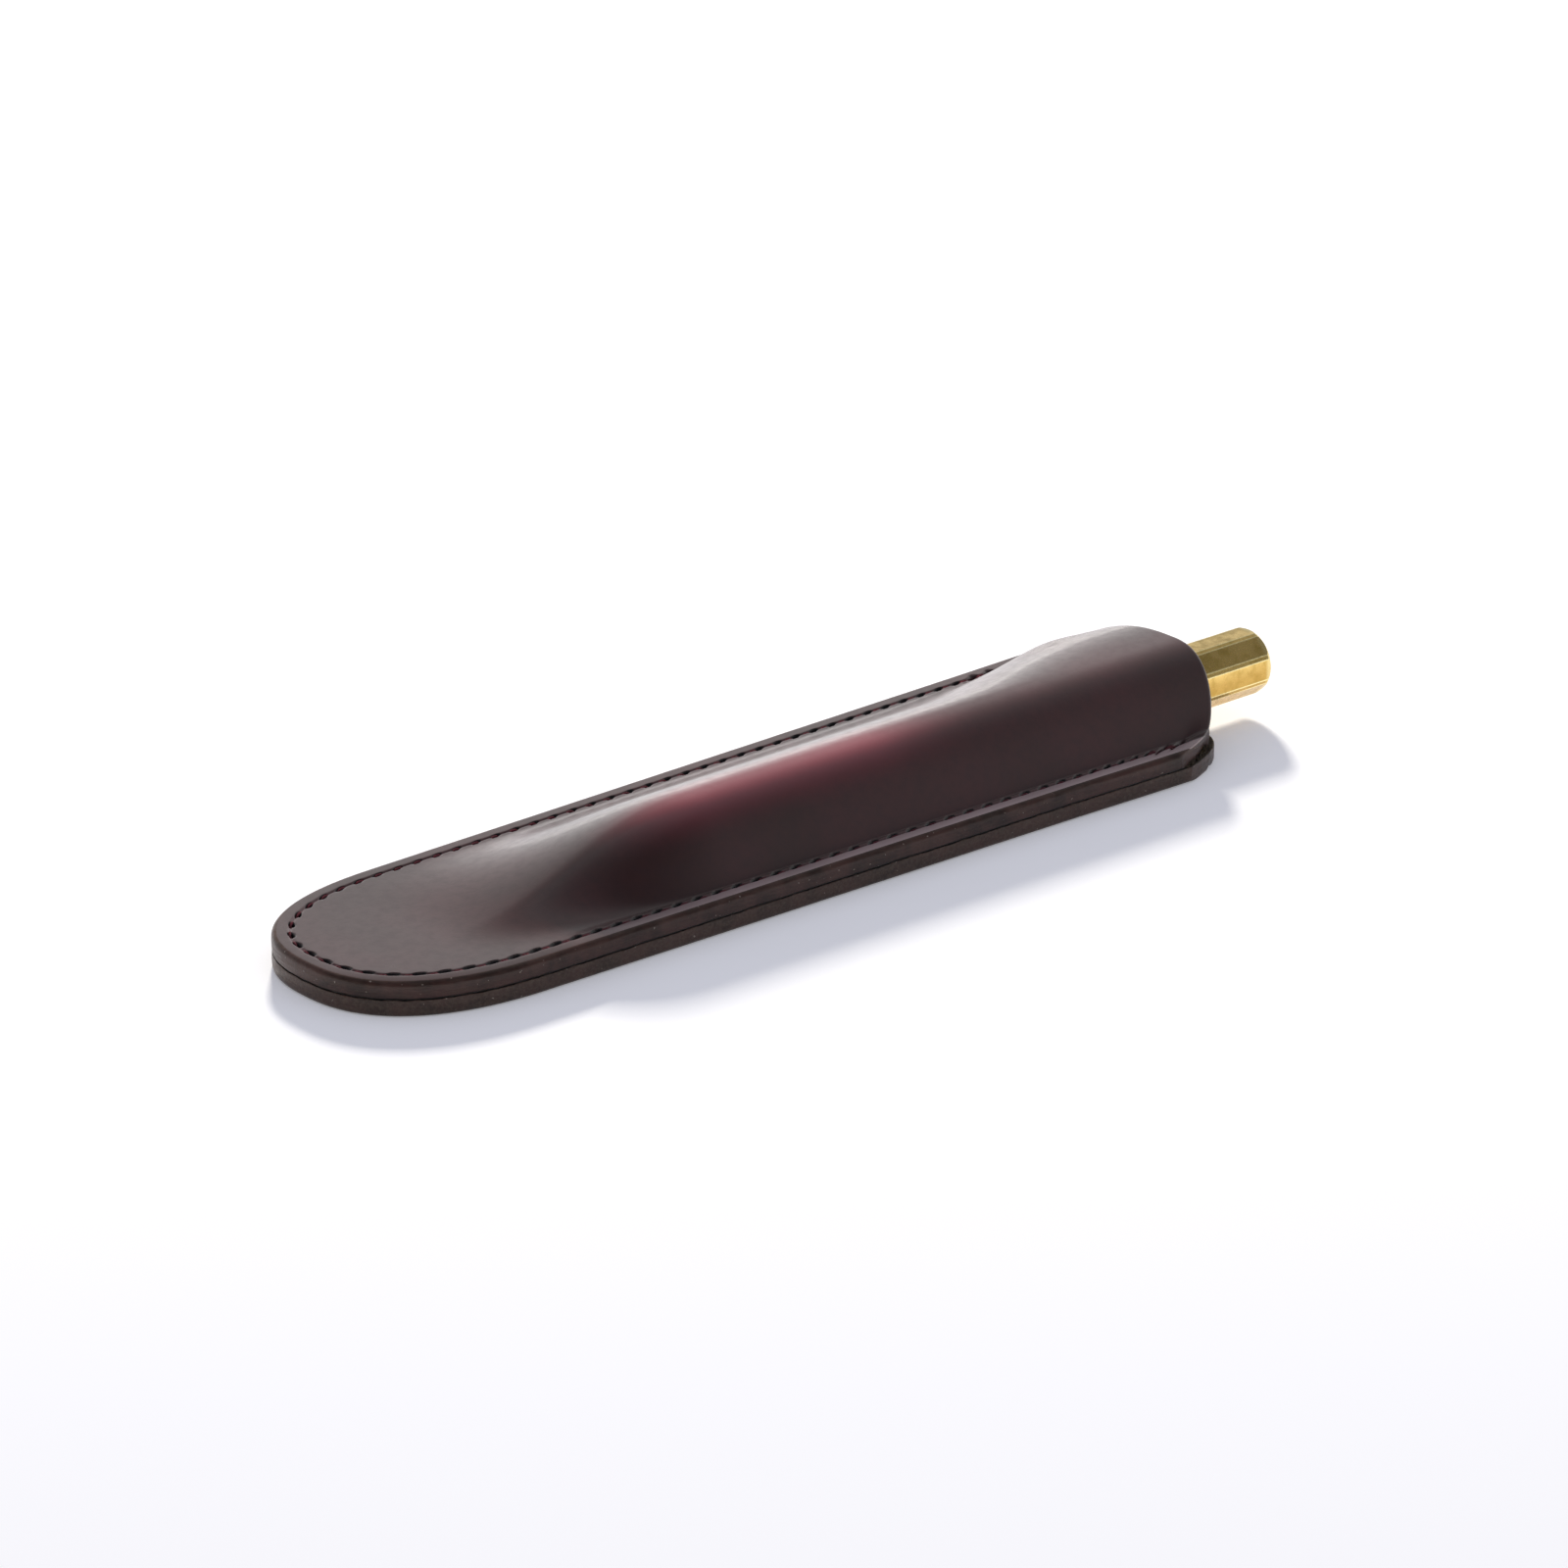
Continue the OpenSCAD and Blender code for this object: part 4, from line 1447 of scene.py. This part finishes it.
@dataclass
class RawFibres:
    """Loose fibre of the leather's flesh side, which stands out of the near corner of the mouth.

    Attributes:
        plan: Sizes of the sleeve.
        flesh: The fibre's material.
        fibre_l: Length of a fibre in mm.
        fibre_d: Thickness of a fibre in mm, coarser than the real 0.05 mm so that it shows.
        density: Fibres on a square millimetre.
        seed: Start of their random places and turns.
        steps: Steps along the strip.
    """

    plan: Plan
    flesh: bpy.types.Material
    fibre_l: float = 0.85
    fibre_d: float = 0.16
    density: float = 22.0
    seed: int = 4
    steps: int = 12

    def patch(self) -> bpy.types.Mesh:
        """Strip of the back layer that the front leaves bare.

        Returns:
            A mesh between the two mouths' edges, just inside the back layer.
        """
        plan, n = self.plan, self.steps
        y = np.linspace(0.15, 3.4, n) - plan.mouth_w / 2
        x, z = np.full(n, plan.length), np.full(n, plan.film_z0 - 0.1)
        rows = [np.stack([plan.laid(x, y, share), y, z], 1) for share in (1.03, 0.9)]
        faces = [(i, n + i, n + i + 1, i + 1) for i in range(n - 1)]
        mesh = bpy.data.meshes.new("bare_flesh_strip")
        mesh.from_pydata(frame_points(np.concatenate(rows), plan).tolist(), [], faces)
        return mesh

    def fibre_tree(self) -> bpy.types.GeometryNodeTree:
        """Node group that stands bent fibres on a patch.

        Returns:
            The group, with its sizes as named inputs in metres.
        """
        floats = ("Fibre Length", "Fibre Thickness", "Fibres Per Area")
        tree, given = new_group(
            "stand_fibres", {**dict.fromkeys(floats, "Float"), "Seed": "Int", "Flesh": "Material"}
        )
        seed, tall = given["Seed"], given["Fibre Length"]
        spread = {"Mesh": given["Geometry"], "Density": given["Fibres Per Area"], "Seed": seed}
        dots = add(tree, "GeometryNodeDistributePointsOnFaces", spread)
        middle = add(tree, "ShaderNodeCombineXYZ", {2: tall * 0.75})
        top = add(tree, "ShaderNodeCombineXYZ", {0: tall * 0.6, 2: tall})
        bent = {"Resolution": 4, "Start": (0, 0, 0), "Middle": middle, "End": top}
        bend = add(tree, "GeometryNodeCurveQuadraticBezier", bent)
        share = Wire(add(tree, "GeometryNodeSplineParameter"), "Factor")
        thinned = add(tree, "GeometryNodeSetCurveRadius", {"Curve": bend, "Radius": 1.0 - share * 0.8})
        round_hair = {"Resolution": 4, "Radius": given["Fibre Thickness"] * 0.5}
        ring = add(tree, "GeometryNodeCurvePrimitiveCircle", round_hair)
        width = add(tree, "GeometryNodeInputRadius")
        swept = {"Curve": thinned, "Profile Curve": ring, "Fill Caps": True, "Scale": width}
        fibre = add(tree, "GeometryNodeCurveToMesh", swept)
        tilt = {0: (-0.7, -0.7, 0.0), 1: (0.7, 0.7, 2 * math.pi), "Seed": seed}
        turn = add(tree, "FunctionNodeRandomValue", tilt, data_type="FLOAT_VECTOR")
        size = add(tree, "FunctionNodeRandomValue", {2: 0.4, 3: 1.3, "Seed": seed}, data_type="FLOAT")
        stood = {"Points": dots, "Instance": fibre, "Rotation": turn, "Scale": Wire(size, 1)}
        grown_out = add(tree, "GeometryNodeInstanceOnPoints", stood)
        real = add(tree, "GeometryNodeRealizeInstances", {0: grown_out})
        dressed = add(tree, "GeometryNodeSetMaterial", {"Geometry": real, "Material": given["Flesh"]})
        add(tree, "NodeGroupOutput", {0: dressed})
        return tree

    def build(self) -> bpy.types.Object:
        """Stands the fibres on the bare strip as one piece.

        Returns:
            The piece.
        """
        sizes = {
            "Fibre Length": self.fibre_l * MM,
            "Fibre Thickness": self.fibre_d * MM,
            "Fibres Per Area": self.density / MM**2,
            "Seed": self.seed,
            "Flesh": self.flesh,
        }
        piece = grown(self.patch(), self.fibre_tree(), sizes, "raw_flesh_fibres")
        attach(piece, Body.SLEEVE.value)
        LOG.info("raw_flesh_fibres: %d faces", len(piece.data.polygons))
        return piece


def dress(node: str, material: bpy.types.Material) -> None:
    """Gives a CAD piece its finish.

    Args:
        node: Name of the CAD node.
        material: Its material.
    """
    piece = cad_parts[node]
    for place in piece.material_slots:
        place.material = material
    if not piece.material_slots:
        piece.data.materials.append(material)
    LOG.info("%s: %s", node, material.name)


@dataclass
class Pen:
    """The brass pen, whose CAD pieces keep their shapes."""

    brass: Finish = HandledBrass()
    turned: Finish = HandledBrass("turned_brass", "#caa552", "#8f7431", roughness=0.3, bevel=0.0)
    # Drawn steel, bright and slightly blue
    steel: Finish = Plain("drawn_steel_refill_tube", "#b9bbbd", 0.28, 1.0)
    # Nickel silver, turned: paler and yellower than steel
    point: Finish = Plain("turned_nickel_silver_point", "#c9b98a", 0.25, 1.0)
    # Acetal, moulded: black, with a waxy shine
    plastic: Finish = Plain("moulded_acetal_plug", "#26282b", 0.42)
    # Nitrile rubber: black and matt
    rubber: Finish = Plain("nitrile_rubber", "#141414", 0.6)
    # Oil paste: nearly black blue and wet
    ink: Finish = Plain("ballpoint_ink_paste", "#141c3e", 0.2)

    def build(self) -> None:
        """Gives each CAD piece of the pen its finish."""
        table = {
            self.brass: ("cap_shell", "barrel_shell"),
            self.turned: ("centre_ring", "section_grip"),
            self.steel: ("refill_tube", "refill_spring"),
            self.point: ("refill_point", "refill_ball"),
            self.plastic: ("refill_plug", "cap_liner", "cap_pad"),
            self.rubber: ("section_oring",),
            self.ink: ("ink_fill",),
        }
        for finish, nodes in table.items():
            material = finish.material()
            for node in nodes:
                dress(node, material)


@dataclass(frozen=True)
class Studio:
    """White table and backdrop, one large soft lamp behind on the left, and the photograph's camera."""

    # Camera: where it looks, how far away and from where, and its lens in mm on a 36 mm wide frame
    target: tuple[float, float, float] = (0.02159, 0.01589, 0.0)
    distance: float = 1.1
    elevation: float = 22.149
    azimuth: float = -40.665
    lens: float = 173.17
    # Lamp: where it hangs, how far away, its side in metres, its power and its colour
    key_azimuth: float = 144.0
    key_elevation: float = 25.0
    key_away: float = 1.2
    key_size: float = 0.14
    key_watts: float = 31.0
    key_colour: str = "#fffaf0"
    # Room: even fill, and what gloss sees, as levels where 1 is white
    fill_colour: str = "#e4e7fa"
    fill_level: float = 0.54
    backdrop_level: float = 0.8
    ceiling_front: float = 0.1
    ceiling_back: float = 0.4
    overhead: float = 0.4
    front_level: float = 0.1
    # Table: half its side in metres, how far it lies below the object, its colour and its glow for the camera
    table_half: float = 4.0
    table_z: float = -0.00004
    table_colour: str = "#f4f4f4"
    table_glow: float = 0.2

    @staticmethod
    def towards(azimuth: float, elevation: float) -> Vector:
        """Finds a direction from the object.

        Args:
            azimuth: Degrees round from -Y (0) by +X (90).
            elevation: Degrees up from the table.

        Returns:
            A vector of length 1.
        """
        a, e = math.radians(azimuth), math.radians(elevation)
        return Vector((math.sin(a) * math.cos(e), -math.cos(a) * math.cos(e), math.sin(e)))

    def placed(self, data: bpy.types.ID, azimuth: float, elevation: float, away: float) -> bpy.types.Object:
        """Puts a camera or a lamp in its place, facing the object.

        Args:
            data: The camera or lamp.
            azimuth: Where it stands, in degrees.
            elevation: How high it stands, in degrees.
            away: How far off it is, in metres.

        Returns:
            Its object.
        """
        holder = bpy.data.objects.new(data.name, data)
        back = self.towards(azimuth, elevation)
        holder.location = Vector(self.target) + back * away
        holder.rotation_mode = "QUATERNION"
        holder.rotation_quaternion = (-back).to_track_quat("-Z", "Y")
        bpy.context.scene.collection.objects.link(holder)
        return holder

    def camera(self) -> None:
        """Sets up the camera at the photograph's angle."""
        data = bpy.data.cameras.new("photo_camera")
        data.lens, data.sensor_width = self.lens, 36.0
        data.clip_start, data.clip_end = 0.05, 20.0
        bpy.context.scene.camera = self.placed(data, self.azimuth, self.elevation, self.distance)

    def lamp(self) -> None:
        """Hangs the square soft lamp, which gloss doesn't show as a shape of its own."""
        data = bpy.data.lights.new("key_softbox", "AREA")
        data.shape, data.size, data.energy = "SQUARE", self.key_size, self.key_watts
        data.color = linear(self.key_colour)[:3]
        holder = self.placed(data, self.key_azimuth, self.key_elevation, self.key_away)
        holder.visible_glossy = False

    def floor(self) -> None:
        """Lays the white table, which keeps the object's shadow."""
        made = bpy.data.materials.new("matt_white_table")
        made.use_nodes = True
        tree = made.node_tree
        tree.nodes.clear()
        paint = add(tree, "ShaderNodeBsdfDiffuse", {"Color": linear(self.table_colour), "Roughness": 0.3})
        glow = add(tree, "ShaderNodeEmission", {"Color": linear("#ffffff"), "Strength": self.table_glow})
        rays = add(tree, "ShaderNodeLightPath")
        seen = Wire(rays, "Is Camera Ray").done("MAXIMUM", Wire(rays, "Is Glossy Ray"))
        both = add(tree, "ShaderNodeAddShader", {0: paint, 1: glow})
        pick = add(tree, "ShaderNodeMixShader", {0: seen, 1: paint, 2: both})
        add(tree, "ShaderNodeOutputMaterial", {0: pick})
        r, z = self.table_half, self.table_z
        mesh = bpy.data.meshes.new("table")
        mesh.from_pydata([(-r, -r, z), (r, -r, z), (r, r, z), (-r, r, z)], [], [(0, 1, 2, 3)])
        mesh.materials.append(made)
        table = bpy.data.objects.new("table", mesh)
        bpy.context.scene.collection.objects.link(table)

    def world(self) -> None:
        """Sets the room: an even cool fill, and for camera and gloss a white backdrop under a dim ceiling."""
        made = bpy.data.worlds.new("studio")
        made.use_nodes = True
        tree = made.node_tree
        tree.nodes.clear()
        way = add(tree, "ShaderNodeSeparateXYZ", {0: Wire(add(tree, "ShaderNodeTexCoord"), "Generated")})
        back = self.towards(self.azimuth + 180, 0)
        facing, up = Wire(way, 0) * back.x + Wire(way, 1) * back.y, Wire(way, 2)
        low = up.eased(0.12, 0.32, 1.0, self.backdrop_level)
        ceiling = facing.eased(0.0, 0.6, self.ceiling_front, self.ceiling_back)
        high = 1.0 - up.eased(0.27, 0.85) * (1.0 - ceiling) + up.eased(0.78, 0.96, 0.0, self.overhead)
        level = low * high * facing.eased(-0.5, 0.55, self.front_level, 1.0)
        rays = add(tree, "ShaderNodeLightPath")
        looks = ((self.fill_colour, self.fill_level), ("#ffffff", level), ("#ffffff", 1.0))
        fill, room, white = (
            add(tree, "ShaderNodeBackground", {"Color": linear(code), "Strength": strength})
            for code, strength in looks
        )
        glossy = add(tree, "ShaderNodeMixShader", {0: Wire(rays, "Is Glossy Ray"), 1: fill, 2: room})
        seen = add(tree, "ShaderNodeMixShader", {0: Wire(rays, "Is Camera Ray"), 1: glossy, 2: white})
        add(tree, "ShaderNodeOutputWorld", {0: seen})
        bpy.context.scene.world = made

    def build(self) -> None:
        """Sets up the whole studio."""
        bpy.context.scene.view_settings.view_transform = "Standard"
        self.camera()
        self.floor()
        self.world()
        self.lamp()


def main() -> None:
    """Builds the sleeve, the seam, the pen and the studio, in that order."""
    logging.basicConfig(level=logging.INFO, format="%(name)s: %(message)s")
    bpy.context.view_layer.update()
    plan = Plan()
    rim = Rim(plan)
    LOG.info("seam: %.1f mm, %d stitches of %.3f mm", rim.seam_length, rim.stitches, rim.pitch)
    grain = GlazedLeather(
        pitch=rim.pitch, seam_inset=plan.seam_inset, seam_start=rim.seam_start, seam_end=rim.seam_length
    )
    # In the order of Skin
    finishes = [finish.material() for finish in (grain, BurnishedEdge(), FleshSide())]
    front, back = (Loft(plan, rim, side) for side in (Side.FRONT, Side.BACK))
    LeatherPanel("front_leather", front, finishes, "front_panel", "leather_front").build()
    LeatherPanel("back_leather", back, finishes, "back_panel", "leather_back").build()
    # Rubber cement, brushed on and dried: black and dull
    dress("cement_film", Plain("dried_contact_cement", "#0c0909", 0.55).material())
    # Polyester thread, bonded: dark red with a faint shine
    thread = Plain("bonded_polyester_thread", "#5e1824", 0.55, grain=0.2).material()
    Seam(plan, rim, thread).build()
    RawFibres(plan, finishes[Skin.FLESH.value]).build()
    Pen().build()
    Studio().build()


if __name__ == "__main__":
    main()
